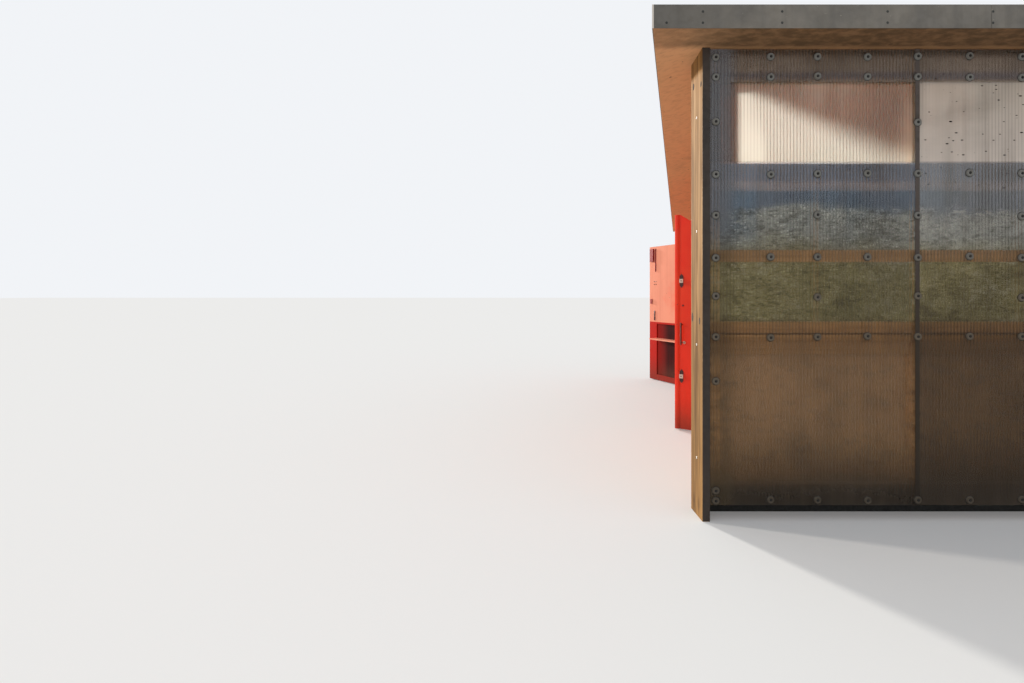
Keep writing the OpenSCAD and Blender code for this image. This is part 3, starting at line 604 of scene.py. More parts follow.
def haze_sheet(name, along, sill, rail, lit_veil=0.38, darker_from=None, corner=None):
    """A clouded twin-wall sheet: part of each face is haze, the rest is open.

    along is the axis that the wall runs along. Between the sill's and the
    rail's heights light falls through the clerestory. Past darker_from, a
    distance along X, the sheets are darker below the sill, and above it a
    paler tone paints the light from the room behind them.
    Up to a hand's width from corner, a distance along X, painted shade
    darkens them beside the end board.
    """
    c = colours()
    f = Finish(name, Roughness=0.28, IOR=1.45, Specular_IOR_Level=0.2)
    x, z = f.axis("X"), f.axis("Z")
    lit = f.ramp(z, sill - 0.005, sill + 0.015) * f.ramp(z, rail + 0.02, rail)
    past_joint = wear_and_shade = 0.0
    if darker_from is not None:
        past_joint = f.ramp(x, darker_from - 0.001, darker_from + 0.001)
    # Painted shade beside the end board, at the wall's start
    if corner is not None:
        wear_and_shade = f.ramp(x, corner + 0.195, corner + 0.085) * f.ramp(z, 1.7, 1.9, 0.45, 0.85)

    drift = (f.noise(1.6) - 0.5) * (f.ramp(z, 1.2, 1.4, 0, 0.35) * f.ramp(z, 2.0, 1.9))
    tone, veil, flutes = read_bands(f, z + drift, haze_bands(sill, rail))
    upper_batten = f.band(z, TRAYS[0][1], TRAYS[1][0])
    flutes = flutes * f.ramp(upper_batten, 0, 1, 1, 0.3)
    gap_shade, flecks = shingle_marks(f, z)
    rib_shade, flute_shade = ribs_and_flutes(f, along, flutes, lit, past_joint)

    # A blue painted reflection of the sky on the sheets, between the trays' heights and the sill
    cast = f.ramp(f.noise((2.4, 2.4, 1.5), detail=3, location=(3, 0, 0)), 0.46, 0.66)
    cast = cast * (f.ramp(z, 1.62, 1.8, 0, 0.7) * f.ramp(z, 2.05, 2.0))
    clouds = f.noise((1.7, 1.7, 2.2), detail=7, roughness=0.62)
    smudge = f.noise((11, 11, 15), detail=7, roughness=0.76, location=(0, 0, 4))
    smudge = f.ramp(smudge, 0.45, 0.66, 0.0, 0.45) * f.band(z, 0.3, 1.0, 0.08)
    dusty = past_joint * f.ramp(z, 1.6, 1.85, 0, 0.38) * f.ramp(z, rail, rail - 0.03)
    swept = f.noise((1.3, 1.3, 3.6), detail=5, rotation=(0, 0.5, 0))
    swept = f.ramp(swept, 0.46, 0.72, 0.0, 0.50) * f.ramp(z, sill, rail, 0.15, 1.0)
    # Past the joint the pane takes a pale tone: painted light from the room behind
    pane = f.mix(swept, f.mix(past_joint, c.haze_high, c.haze_room_light), (0.24, 0.18, 0.135))
    runs = f.effect(streaks, Amount=0.30)
    # Tones of the painted shade beside the end board: brown low down, blue-grey high up
    board_shade_tone = f.mix(f.ramp(z, 1.60, 1.80), (0.11, 0.078, 0.040), (0.26, 0.265, 0.285))
    amount = f.ramp(past_joint, 0, 1, 0.22, 0.55)
    blown = f.effect(specks, Vector=f.stretch((0.6, 0.6, 1)), Scale=30.0, Amount=amount)
    blown = blown * f.ramp(z, 1.6, 2.2, 0.2, 1.0)
    tone = f.coats(
        tone,
        (upper_batten * 0.9, (0.33, 0.215, 0.125)),
        # painted reflection of the sky
        (cast, (0.33, 0.47, 0.60)),
        (f.ramp(clouds, 0.44, 0.72, 0.0, 0.55), c.haze_dirt_and_shade),
        # painted shade between the pebbles
        (gap_shade * 0.66, (0.080, 0.068, 0.042)),
        (flecks * 0.60, (0.96, 0.93, 0.80)),
        (smudge, (0.085, 0.062, 0.038)),
        # darker low down past the joint
        (past_joint * f.ramp(z, 0.95, 1.5, 0.72, 0.0), c.haze_dirt_and_shade),
        (dusty, (0.70, 0.66, 0.60)),
        (lit, pane),
        (runs, c.haze_dirt_and_shade * 2.2),
        # painted shade beside the end board
        (wear_and_shade, board_shade_tone),
        (blown, (0.02, 0.018, 0.015)),
        # painted shade on the ribs' own faces
        (rib_shade * 0.6, (0.05, 0.045, 0.04)),
        # painted shade of the ribs along the flutes
        (flute_shade * 0.50, c.haze_dirt_and_shade * 0.8),
    )

    veil = f.math("MAXIMUM", veil, lit * lit_veil)
    veil = veil + runs * 0.08 + past_joint * f.ramp(lit, 0, 1, 0.04, 0.16) + wear_and_shade * 0.16
    veil = veil + (gap_shade + flecks) * 0.10 + smudge * 0.24
    veil = veil + f.effect(ground_dirt, Top=0.45, Amount=0.26)
    veil = f.math("MAXIMUM", veil, blown * 0.8)
    veil = f.math("MAXIMUM", veil, rib_shade * 0.55, clamp=True)
    shine = f.coats(
        (0.98, 1.0, 0.95),
        # painted rib shade in the light through the sheet
        (flute_shade * 0.8, (0.27, 0.265, 0.25)),
        (blown, (0.05, 0.04, 0.03)),
        # painted shade beside the end board dims the glow
        (wear_and_shade, (0.27, 0.33, 0.40)),
    )
    through = f.ramp(lit, 0, 1, 0.20, 0.94) * f.ramp(rib_shade, 0, 1, 1, 0.4)
    through = through * (1.0 - past_joint * f.ramp(z, sill, rail, 0.95, 0.45))
    through = through * f.ramp(wear_and_shade, 0.0, 0.8, 1.0, 0.15)
    glow = f.node("BsdfTranslucent", {"Color": shine})
    body = f.node("MixShader", {"Fac": through, 1: f.shader, 2: glow})
    mixed = f.node("MixShader", {"Fac": veil, 1: f.node("BsdfTransparent"), 2: body})
    f.feed(f.tree.nodes["Material Output"].inputs["Surface"], mixed)
    return f.done(tone)


def red_paint(name, top, wear_and_shade, deep=None, deep_below=0.0, faces=None):
    """Satin paint on steel, faded in patches and grimy low down.

    Below the height deep_below it turns to the deep colour, if one is given,
    as painted shade, with faces, what leaf_faces says of the leaf. There the
    painted shade in the recess deepens from the leaf's free edge to its hinge,
    and the outer face keeps the plain paint of the doors.
    """
    f = Finish(name, Coat_Roughness=0.18, Specular_IOR_Level=0.08 if deep else 0.25)
    patches = f.noise(1.7, detail=5, roughness=0.6)
    faded = f.ramp(patches, 0.48, 0.72, 0.0, 0.55)
    tone = f.mix(faded, top, wear_and_shade)
    if deep:
        out, floor_out, outside = faces
        depth = f.along(out)
        shade = f.ramp(f.along(out.cross(Z_AXIS)), *RECESS_SHADE, 1.0, 0.45)
        sunk = f.ramp(depth, floor_out + 0.010, floor_out + 0.002)
        # painted shade on the recess floor
        dark = f.mix(sunk * shade, deep, deep * 0.06)
        plain = f.mix(faded, colours().paint, wear_and_shade)
        tone = f.coats(
            tone,
            (f.ramp(f.axis("Z"), deep_below + 0.004, deep_below - 0.004), dark),
            (f.ramp(depth, outside + 0.004, outside + 0.001), plain),
        )
    else:
        f.set(Coat_Weight=f.ramp(patches, 0.5, 0.7, 0.12, 0.04))
    grime = f.effect(ground_dirt, Top=0.25, Amount=0.6)
    tone = f.coats(
        tone,
        (f.effect(streaks, Amount=0.15), (deep or top) * 0.55),
        (grime, (0.12, 0.035, 0.02)),
        (f.effect(specks, Scale=30.0, Amount=0.05), (0.10, 0.045, 0.03)),
    )
    orange_peel = f.noise(90.0, detail=2)
    return f.done(tone, 0.30 + patches * 0.16 + grime * 0.3, (orange_peel, 0.12, 0.001))


def weathered_metal(name, light, dark, lit_until=None):
    """Dull folded sheet metal with runs, blots and lichen specks.

    Up to a given distance along X it is painted bright as a highlight, and
    it is darker over the half metre before that.
    """
    f = Finish(name, Metallic=0.25)
    light, dark = Vector(light), Vector(dark)
    cloud = f.noise(3.0, detail=6, roughness=0.62)
    fine = f.noise((30, 30, 30))
    tone = f.coats(
        light,
        (f.ramp(cloud, 0.35, 0.72, 0.0, 0.75), dark),
        (f.effect(streaks, Amount=0.5), dark),
        (f.effect(specks, Scale=36.0, Amount=0.07), light * 1.3),
    )
    if lit_until is not None:
        x = f.axis("X")
        tone = f.coats(
            tone,
            # darker towards the tip
            (f.ramp(x, lit_until + 0.6, lit_until + 0.1, 0.0, 0.6), dark * 0.85),
            # painted highlight on the tip
            (f.ramp(x, lit_until + 0.001, lit_until - 0.001), (0.75, 0.68, 0.60)),
        )
    return f.done(tone, f.ramp(fine, 0.3, 0.7, 0.50, 0.72), (cloud + fine, 0.12, 0.003))


def plain_paint(name, tone, roughness=0.5, metallic=0.0, spread=0.25):
    """A plain small part, lightly mottled."""
    f = Finish(name, Metallic=metallic)
    mottle = f.noise(60.0)
    rough = f.ramp(mottle, 0.3, 0.7, roughness, min(1, roughness + 0.2))
    tone = f.mix(f.ramp(mottle, 0.35, 0.7), tone, Vector(tone) * (1 - spread))
    return f.done(tone, rough, (mottle, 0.1, 0.0005))


def washer_paint(name, upper_tone, lower_tone):
    """Dull finish of small parts on the sheets, browner the lower they sit."""
    f = Finish(name, Roughness=0.6, Specular_IOR_Level=0.3)
    z, blot = f.axis("Z"), f.noise(12.0, detail=3)
    lower_tone = Vector(lower_tone)
    return f.done(f.coats(
        upper_tone,
        (f.ramp(z + blot * 0.6, 2.35, 1.35), lower_tone),
        (f.ramp(z, 0.45, 0.1), lower_tone * 0.6),
        (f.ramp(blot, 0.5, 0.75, 0.0, 0.5), lower_tone * 0.8),
    ))


# Tone of the algae on the pebbles
ALGAE = (0.40, 0.34, 0.13)
# Tones of the pebbles and shells, from the darkest to the palest
PEBBLE_TONES = (
    (0.07, 0.06, 0.045), (0.20, 0.19, 0.15), (0.42, 0.42, 0.37), (0.72, 0.71, 0.66),
    (0.98, 0.97, 0.92),
)


def pebble_material(name):
    """Pebbles and shells: each takes its tone from its own attribute."""
    f = Finish(name)
    own = f.node("Attribute", attribute_name="tone")["Fac"]
    last = len(PEBBLE_TONES) - 1
    tone = f.colour_ramp(own, [(i / last, tone) for i, tone in enumerate(PEBBLE_TONES)])
    algae = f.ramp(f.axis("Z") + f.noise(5.0) * 0.5, OLIVE_BELOW + 0.35, OLIVE_BELOW)
    mottle = f.noise(160.0, detail=3)
    tone = f.coats(
        f.mix(algae * 0.55, tone, ALGAE, "MULTIPLY"),
        (algae * 0.30, ALGAE),
        (f.ramp(mottle, 0.4, 0.7, 0.0, 0.3), (0.05, 0.045, 0.03)),
    )
    return f.done(tone, f.ramp(mottle, 0.3, 0.7, 0.45, 0.8), (mottle, 0.3, 0.001))


def infill_ground(name):
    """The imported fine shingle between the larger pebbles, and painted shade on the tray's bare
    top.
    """
    f = Finish(name)
    grit = f.node("TexVoronoi", {"Vector": f.place, "Scale": 110.0})["Distance"]
    z, blot = f.axis("Z"), f.noise(4.0, detail=5)
    tone = f.coats(
        (0.22, 0.25, 0.26),
        (f.ramp(z + blot * 0.5, OLIVE_BELOW + 0.4, OLIVE_BELOW), (0.22, 0.19, 0.08)),
        (f.ramp(grit, 0.2, 0.6, 0.0, 0.5), (0.07, 0.062, 0.045)),
        # dark blue painted shade where the tray is empty above the shingle
        (f.ramp(z + blot * 0.05, 1.925, 1.935), (0.055, 0.070, 0.105)),
    )
    return f.done(tone, f.ramp(grit, 0.1, 0.5, 0.75, 0.95), (grit, 0.5, 0.003))


def moss_material(name, low, high):
    """Moss and low succulents, mottled from green to dry brown."""
    f = Finish(name)
    clumps, fine = f.noise(2.4, detail=6, roughness=0.65), f.noise(45.0)
    tone = f.coats(
        low,
        (f.ramp(clumps, 0.38, 0.66), high),
        (f.ramp(fine, 0.35, 0.7, 0.0, 0.6), Vector(low) * 0.4),
    )
    return f.done(tone, f.ramp(fine, 0.3, 0.7, 0.85, 1.0), (fine, 0.6, 0.01))


def hasp_paint(name, out):
    """Dark straps with pale lugs; out is the leaf's outward direction."""
    back = min(v.co.dot(out) for v in NODES["near_door_hasps"].data.vertices)
    f = Finish(name, Roughness=0.5)
    lug = f.ramp(f.along(out), back + STRAP_T - 0.001, back + STRAP_T + 0.001)
    return f.done(f.mix(lug, (0.06, 0.014, 0.012), (0.72, 0.56, 0.50)))


def put_on(material, *names):
    """Give CAD nodes a material in each of their slots."""
    for name in names:
        slots = NODES[name].data.materials
        if not slots:
            slots.append(material)
        for i in range(len(slots)):
            slots[i] = material


# Making pieces

def mesh_from(name, bm):
    """A mesh with what a bmesh holds; the bmesh is freed."""
    mesh = bpy.data.meshes.new(name)
    bm.to_mesh(mesh)
    bm.free()
    return mesh


def placed(name, data):
    """A new object in the scene."""
    made = bpy.data.objects.new(name, data)
    bpy.context.scene.collection.objects.link(made)
    return made


def finish_piece(name, slot, bm, *materials, body="hut", smooth=False):
    """Turn a bmesh into a piece that rides on a body."""
    bm.normal_update()
    mesh = mesh_from(name, bm)
    for material in materials:
        mesh.materials.append(material)
    if smooth:
        mesh.shade_smooth()
    piece = placed(name, mesh)
    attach(piece, body)


def facing(origin, outward):
    """A matrix whose Z points outward and whose Y points up, at an origin."""
    turn = Matrix((Z_AXIS.cross(outward), Z_AXIS, outward)).transposed().to_4x4()
    return Matrix.Translation(origin) @ turn


def stamp(bm, template, matrix):
    """Add a copy of a template mesh to a bmesh, placed by a matrix."""
    start = len(bm.verts)
    bm.from_mesh(template)
    bm.verts.ensure_lookup_table()
    bmesh.ops.transform(bm, matrix=matrix, verts=bm.verts[start:])


def turned(profile, segments, core=0.0, rim=math.inf):
    """A closed turned shape from (radius, height) points; its axis is Z.

    Upper faces within the core radius or outside the rim radius take the second material.
    """
    bm = bmesh.new()
    points = [bm.verts.new((r, 0, h)) for r, h in profile]
    edges = [bm.edges.new(pair) for pair in zip(points, points[1:])]
    bmesh.ops.spin(
        bm, geom=points + edges, cent=(0, 0, 0), axis=(0, 0, 1),
        angle=2 * math.pi, steps=segments, use_merge=True,
    )
    bmesh.ops.remove_doubles(bm, verts=bm.verts, dist=1e-6)
    bmesh.ops.holes_fill(bm, edges=[e for e in bm.edges if e.is_boundary])
    bmesh.ops.recalc_face_normals(bm, faces=bm.faces)
    for face in bm.faces:
        radius = face.calc_center_median().xy.length
        if face.normal.z > 0 and not core <= radius <= rim:
            face.material_index = 1
    return mesh_from("template", bm)


def block(bm, low, high, bevel, matrix=Matrix()):
    """A block between two corners of a matrix's space, with bevelled edges."""
    low, high = Vector(low), Vector(high)
    size = Matrix.Diagonal((*(high - low), 1))
    lie = matrix @ Matrix.Translation((low + high) / 2) @ size
    made = bmesh.ops.create_cube(bm, size=1, matrix=lie)["verts"]
    bmesh.ops.bevel(
        bm, geom=list({e for v in made for e in v.link_edges}), offset=bevel, segments=2,
        profile=0.5, affect="EDGES", material=-1,
    )


def surface(name):
    """A CAD node's faces, which rays can be cast at."""
    data = NODES[name].data
    return BVHTree.FromPolygons(
        [v.co for v in data.vertices], [p.vertices for p in data.polygons]
    )


def limited(value, most):
    """A value kept between minus and plus its limit."""
    return max(-most, min(most, value))


# The three clad walls

class Wall:
    """One clad wall: its sheets' outer face, from its start along its run."""

    def __init__(self, name, x, y, outward, run, count, top):
        self.name = name
        self.start = Vector((x, y, 0))
        self.along = Z_AXIS.cross(outward)
        self.outward = outward
        self.top = top
        s = sizes()
        half = s.upright_w / 2
        pitch = (run + s.sheet_gap) / count
        middles = [i * pitch - s.sheet_gap / 2 for i in range(1, count)]
        self.joints = [half, *middles, run - half]
        self.halves = [half, *[s.joint_upright_w / 2] * (count - 1), half]

    def place(self, s, z, out=0.0):
        return self.start + self.along * s + Z_AXIS * z + self.outward * out

    def bays(self):
        """Stretches between the upright battens, as (start, end)."""
        edges = list(zip(self.joints, self.halves))
        for (a, half_a), (b, half_b) in zip(edges, edges[1:]):
            yield a + half_a, b - half_b

    def columns(self):
        """Distances of the button columns, each with its quarter of a sheet."""
        for i, (a, b) in enumerate(zip(self.joints, self.joints[1:])):
            for quarter, part in enumerate(EVEN_SHARES if i else FIRST_SHARES):
                yield a + (b - a) * part, quarter
        yield self.joints[-1], 0

    def middles(self):
        """Distances of the battens behind the middle of each sheet."""
        return [s for s, quarter in self.columns() if quarter == 2]

    def infill_depth(self):
        """How far the infill lies behind the sheets' outer face."""
        axis = 0 if self.name == "rear" else 1
        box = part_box(f"{self.name}_wall_infill")
        return min(abs(corner[axis] - self.start[axis]) for corner in box)


def roof_fall():
    """Fall of the roof per metre, read from the sheets' tops."""
    near_lo, near_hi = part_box("near_wall_sheets")
    far_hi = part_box("far_wall_sheets")[1]
    return (near_hi.z - far_hi.z) / (far_hi.y - near_lo.y)


def sheet_thickness():
    lo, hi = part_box("near_wall_sheets")
    return hi.y - lo.y


def clad_walls():
    """The near, far and rear walls."""
    s = sizes()
    near_lo, near_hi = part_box("near_wall_sheets")
    far_lo, far_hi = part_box("far_wall_sheets")
    rear_lo, rear_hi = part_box("rear_wall_sheets")
    fall = roof_fall()
    return [
        Wall("near", near_lo.x, near_lo.y, -Y_AXIS, near_hi.x - near_lo.x, s.near_sheets,
             lambda d: near_hi.z),
        Wall("far", far_hi.x, far_hi.y, Y_AXIS, far_hi.x - far_lo.x, s.far_sheets,
             lambda d: far_hi.z),
        Wall("rear", rear_hi.x, rear_lo.y, X_AXIS, rear_hi.y - rear_lo.y, s.rear_sheets,
             lambda d: rear_hi.z - d * fall),
    ]


def button_template():
    """A round washer on a dark seal, with a screw in its dished middle."""
    r, h = sizes().button_r, sizes().button_h
    profile = (
        (0, 0.80), (0.16, 0.75), (0.24, 0.35), (0.32, 0.30), (0.40, 0.80), (0.60, 0.70),
        (0.80, 1.0), (0.94, 0.75), (1, 0.12), (1.16, 0.07), (1.16, 0), (0, 0),
    )
    return turned([(r * a, h * b) for a, b in profile], 16, core=r * 0.38, rim=r)


def screw_template(h):
    """A countersunk screw's head of height h with a dark socket."""
    r = sizes().screw_r
    profile = ((0, 0.4), (0.42, 0.4), (0.48, 1), (0.80, 0.9), (1, 0.3), (1, 0), (0, 0))
    return turned([(r * a, h * b) for a, b in profile], 12, core=r * 0.45)


def button_places(wall):
    """Places of one wall's buttons as distances along it and heights."""
    drops = TALL_DROPS if wall.name == "near" else SHORT_DROPS
    for s, quarter in wall.columns():
        top = wall.top(s)
        rows = [*(top - drop for drop in drops), *FULL_ROWS]
        if quarter % 2 == 0:
            rows += SPARE_ROWS
        if quarter == 0:
            rows += JOINT_ROWS
        if s in (wall.joints[0], wall.joints[-1]):
            rows += END_ROWS
        for z in rows:
            if z <= top - drops[-1] + 1e-6 or z > top - drops[0] - 1e-6:
                yield s, z


class HUT_OT_fix_sheets(Operator):
    """Fix the cladding sheets with round washers"""
    bl_idname = "hut.fix_sheets"
    bl_label = "Fix the sheets"

    def execute(self, context):
        template = button_template()
        metal = washer_paint("Washer Grey", (0.22, 0.215, 0.195), (0.15, 0.118, 0.082))
        dark = plain_paint("Washer Seal", (0.022, 0.020, 0.018), 0.6, 0.2)
        strip_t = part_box("near_wall_sheets")[0].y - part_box("joint_strips")[0].y
        dice = random.Random(11)
        for wall in clad_walls():
            bm = bmesh.new()
            for s, z in button_places(wall):
                out = strip_t if s in wall.joints[1:-1] else 0
                z += limited(dice.gauss(0, 0.003), 0.006)
                turn = Matrix.Rotation(dice.uniform(0, math.pi), 4, "Z")
                stamp(bm, template, facing(wall.place(s, z, out), wall.outward) @ turn)
            if not bm.verts:
                raise RuntimeError(f"no washers fit the {wall.name} wall")
            finish_piece(f"{wall.name}_wall_washers", "cladding", bm, metal, dark, smooth=True)
        return {"FINISHED"}


# Pebbles and shells

def settled(spot):
    """Height up to which the shingle fills the upper tray at a place."""
    run = spot.x + spot.y
    return FILL_TOP + 0.014 * math.sin(7.0 * run) + 0.008 * math.sin(19.0 * run)


def add_pebble(bm, tone_layer, dice, centre, outward, depth):
    """One flat pebble or shell that lies between the infill and the sheet.

    Depth is the room between the two.
    """
    r = sizes().pebble_r * dice.uniform(0.6, 1.2)
    flat = Matrix.Diagonal((
        r * dice.uniform(1.2, 2.1), r * dice.uniform(0.42, 0.66),
        depth * dice.uniform(0.38, 0.48), 1,
    ))
    tilt = Matrix.Rotation(limited(dice.gauss(0, 0.14), 0.3), 4, "Z")
    matrix = facing(centre, outward) @ tilt @ flat
    made = bmesh.ops.create_icosphere(bm, subdivisions=1, radius=1, matrix=matrix)["verts"]
    top = 1.0 - min(1.0, abs(settled(centre) - centre.z) / 0.09)
    pale = dice.random() < 0.22 + 0.33 * top
    tone = dice.uniform(0.72, 1.0) if pale else dice.random() * 0.55
    for v in made:
        v[tone_layer] = tone


def pebble_batch(wall, dice, back, depth, s0, s1, z0, z1):
    """A mesh of the pebbles in one short stretch of a tray, up to the settled height."""
    bm = bmesh.new()
    layer = bm.verts.layers.float.new("tone")
    step = sizes().pebble_step
    room = sizes().middle_batten_w / 2 + sizes().pebble_r * 1.5
    battens = wall.middles()
    columns, rows = round((s1 - s0) / step), round((z1 - z0) / (step * 0.52))
    for i in range(columns):
        for j in range(rows):
            s = s0 + (i + dice.uniform(0.1, 0.9)) * (s1 - s0) / columns
            z = z0 + (j + dice.uniform(0.15, 0.85)) * (z1 - z0) / rows
            spot = wall.place(s, z, depth / 2 - back)
            if z < settled(spot) and all(abs(s - batten) >= room for batten in battens):
                add_pebble(bm, layer, dice, spot, wall.outward, depth)
    return mesh_from("batch", bm)


class HUT_OT_set_middle_battens(Operator):
    """Stand a batten in each tray behind the middle of each sheet"""
    bl_idname = "hut.set_middle_battens"
    bl_label = "Set the middle battens"

    def execute(self, context):
        c = colours()
        half = sizes().middle_batten_w / 2
        wood = timber("Middle Batten Timber", c.panel_light * 0.75, c.panel_dark, "Z")
        for wall in clad_walls():
            bm = bmesh.new()
            back, front = 0.0005 - wall.infill_depth(), -sheet_thickness() - 0.001
            for s in wall.middles():
                upright = facing(wall.place(s, 0), wall.outward)
                for z0, z1 in TRAYS:
                    block(bm, (-half, z0, back), (half, z1, front), 0.0015, upright)
            finish_piece(f"{wall.name}_middle_battens", "frame_timber", bm, wood)
        return {"FINISHED"}


class HUT_OT_fill_trays(Operator):
    """Fill the trays behind the sheets with pebbles and shells"""
    bl_idname = "hut.fill_trays"
    bl_label = "Fill the trays"

    def execute(self, context):
        pebbles = pebble_material("Pebbles and Shells")
        shingle = infill_ground("Packed Shingle")
        for seed, wall in enumerate(clad_walls(), 1):
            put_on(shingle, f"{wall.name}_wall_infill")
            back = wall.infill_depth()
            depth = back - sheet_thickness()
            dice = random.Random(seed)
            bm = bmesh.new()
            for low, high in wall.bays():
                step = (high - low - 2 * TRAY_MARGIN) / BATCHES
                for z0, z1 in TRAYS:
                    for i in range(BATCHES):
                        s0 = low + TRAY_MARGIN + i * step
                        bm.from_mesh(pebble_batch(
                            wall, dice, back, depth, s0, s0 + step,
                            z0 + TRAY_MARGIN, z1 - TRAY_MARGIN,
                        ))
            finish_piece(f"{wall.name}_wall_pebbles", "infill", bm, pebbles, smooth=True)
        return {"FINISHED"}


# Timber

class HUT_OT_dress_timber(Operator):
    """Finish the panels, posts, battens, boards and the floor as timber"""
    bl_idname = "hut.dress_timber"
    bl_label = "Dress the timber"

    def execute(self, context):
        c = colours()
        panel = (c.panel_light, c.panel_dark)
        batten = (c.batten_light, c.batten_dark)
        board = (c.board_light, c.board_dark)
        put_on(timber("Panel Timber", *panel, "Z", contrast=0.35, dirt=0.2, ground=0.35),
               "near_wall_panel", "far_wall_panel", "rear_wall_panel",
               "front_wall_panel", "front_wall_pier")
        put_on(timber("Batten Timber X", *batten, "X"), "near_wall_battens", "far_wall_battens")
        put_on(timber("Batten Timber Y", *batten, "Y"), "rear_wall_battens")
        put_on(timber("Post Timber", *panel, "Z", dirt=0.2),
               "near_wall_posts", "far_wall_posts", "rear_wall_posts", "front_wall_posts")
        put_on(timber("Beam Timber X", *panel, "X"), "near_wall_beam", "far_wall_beam")
        put_on(timber("Beam Timber Y", *panel, "Y"), "rear_wall_beam", "front_wall_head")
        put_on(timber("End Board Timber", *board, "Z", knots=0.34, dirt=0.07, sheen=0.12),
               "near_end_board", "corner_boards")
        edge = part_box("near_wall_sheets")[0].y
        put_on(strand_board("Roof Deck Board", c.soffit_light, c.soffit_dark, edge), "roof_deck")
        put_on(timber("Floor Timber", *panel, "X", dirt=0.5), "floor")
        # Its near-black tone paints the deep shade in the gap under the sheets
        put_on(plain_paint("Plinth", (0.03, 0.03, 0.028), 0.8), "plinths")
        return {"FINISHED"}


class HUT_OT_lay_floor(Operator):
    """Lay floor boards over the slab, inside the room"""
    bl_idname = "hut.lay_floor"
    bl_label = "Lay the floor"

    def execute(self, context):
        c, s = colours(), sizes()
        lo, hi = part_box("floor")
        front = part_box("front_wall_panel")[1].x
        bm = bmesh.new()
        count = round((hi.y - lo.y) / s.floor_board_w)
        step = (hi.y - lo.y) / count
        for i in range(count):
            y = lo.y + i * step
            block(bm, (front + 0.002, y + BOARD_GAP / 2, hi.z),
                  (hi.x - 0.001, y + step - BOARD_GAP / 2, hi.z + s.floor_board_t), 0.001)
        boards = timber("Floor Boards", c.panel_light, c.panel_dark, "X", knots=0.2, dirt=0.5)
        finish_piece("floor_boards", "floor_boards", bm, boards)
        return {"FINISHED"}


class HUT_OT_trim_boards(Operator):
    """Screw the end boards and cover their edges with dark strips"""
    bl_idname = "hut.trim_boards"
    bl_label = "Trim the end boards"

    def execute(self, context):
        s = sizes()
        lo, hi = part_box("near_end_board")
        rear_lo, rear_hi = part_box("corner_boards")
        board_t = hi.x - lo.x
        rear_x = rear_hi.x - board_t
        top = hi.z - 0.001
        low_top = top - (rear_hi.y - lo.y) * roof_fall() - 0.02
        strips = bmesh.new()
        for x, y, z in (
            (lo.x, lo.y - s.strip_t, top), (rear_x, rear_lo.y - s.strip_t, top),
            (rear_lo.x, rear_hi.y, low_top), (rear_x, rear_hi.y, low_top),
        ):
            block(strips, (x, y, STRIP_FOOT), (x + board_t, y + s.strip_t, z), STRIP_BEVEL)
        dark = weathered_metal("Dark Edge Strip", (0.060, 0.043, 0.032), (0.026, 0.021, 0.018))
        finish_piece("board_edge_strips", "end_boards", strips, dark)

        screws = bmesh.new()
        template = screw_template(s.screw_h)
        for x, y, outward, heights in (
            (lo.x, lo.y + SCREW_INSET, -X_AXIS, SCREW_HEIGHTS),
            (rear_lo.x, rear_hi.y - SCREW_INSET, -X_AXIS, SCREW_HEIGHTS[:-1]),
            (rear_hi.x, rear_lo.y + SCREW_INSET, X_AXIS, SCREW_HEIGHTS[:-1]),
            (rear_hi.x, rear_hi.y - SCREW_INSET, X_AXIS, SCREW_HEIGHTS[:-1]),
        ):
            for z in heights:
                stamp(screws, template, facing(Vector((x, y, z)), outward))
        bright = plain_paint("Bright Screws", (0.86, 0.85, 0.82), 0.45, 0.2, spread=0.1)
        socket = plain_paint("Screw Sockets", (0.03, 0.025, 0.02), 0.7)
        finish_piece("board_screws", "end_boards", screws, bright, socket, smooth=True)

        knots = bmesh.new()
        for y, z, half_w, half_h in BOARD_KNOTS:
            spot = facing(Vector((lo.x, lo.y + y, z)), -X_AXIS)
            shape = Matrix.Diagonal((half_w, half_h, 0.0012, 1))
            bmesh.ops.create_icosphere(knots, subdivisions=3, radius=1, matrix=spot @ shape)
        brown = plain_paint("Board Knots", (0.045, 0.026, 0.014), 0.8)
        finish_piece("board_knots", "end_boards", knots, brown, smooth=True)
        return {"FINISHED"}


# Sheets

class HUT_OT_dress_sheets(Operator):
    """Finish the cladding and clerestory sheets as clouded plastic"""
    bl_idname = "hut.dress_sheets"
    bl_label = "Dress the sheets"

    def execute(self, context):
        sill, rail = (corner.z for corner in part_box("near_wall_posts"))
        near = clad_walls()[0]
        put_on(haze_sheet("Clouded Sheet X", "X", sill, rail,
                          darker_from=near.place(near.joints[1], 0).x, corner=near.start.x),
               "near_wall_sheets", "far_wall_sheets")
        put_on(haze_sheet("Clouded Sheet Y", "Y", sill, rail), "rear_wall_sheets")
        put_on(haze_sheet("Clouded Sheet Front", "Y", sill, rail, lit_veil=0.20),
               "front_wall_sheet")
        put_on(washer_paint("Joint Strip", (0.098, 0.078, 0.068), (0.042, 0.028, 0.016)),
               "joint_strips")
        return {"FINISHED"}


# Fascia and roof

def roof_edges():
    """The roof's four upper edges as pairs of corners, each seen with the roof behind it."""
    near_lo, near_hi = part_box("near_fascia")
    far_lo, far_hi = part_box("far_fascia")
    corners = [
        Vector((near_lo.x, near_lo.y, 0)), Vector((near_hi.x, near_lo.y, 0)),
        Vector((far_hi.x, far_hi.y, 0)), Vector((far_lo.x, far_hi.y, 0)),
    ]
    return zip(corners, corners[1:] + corners[:1])


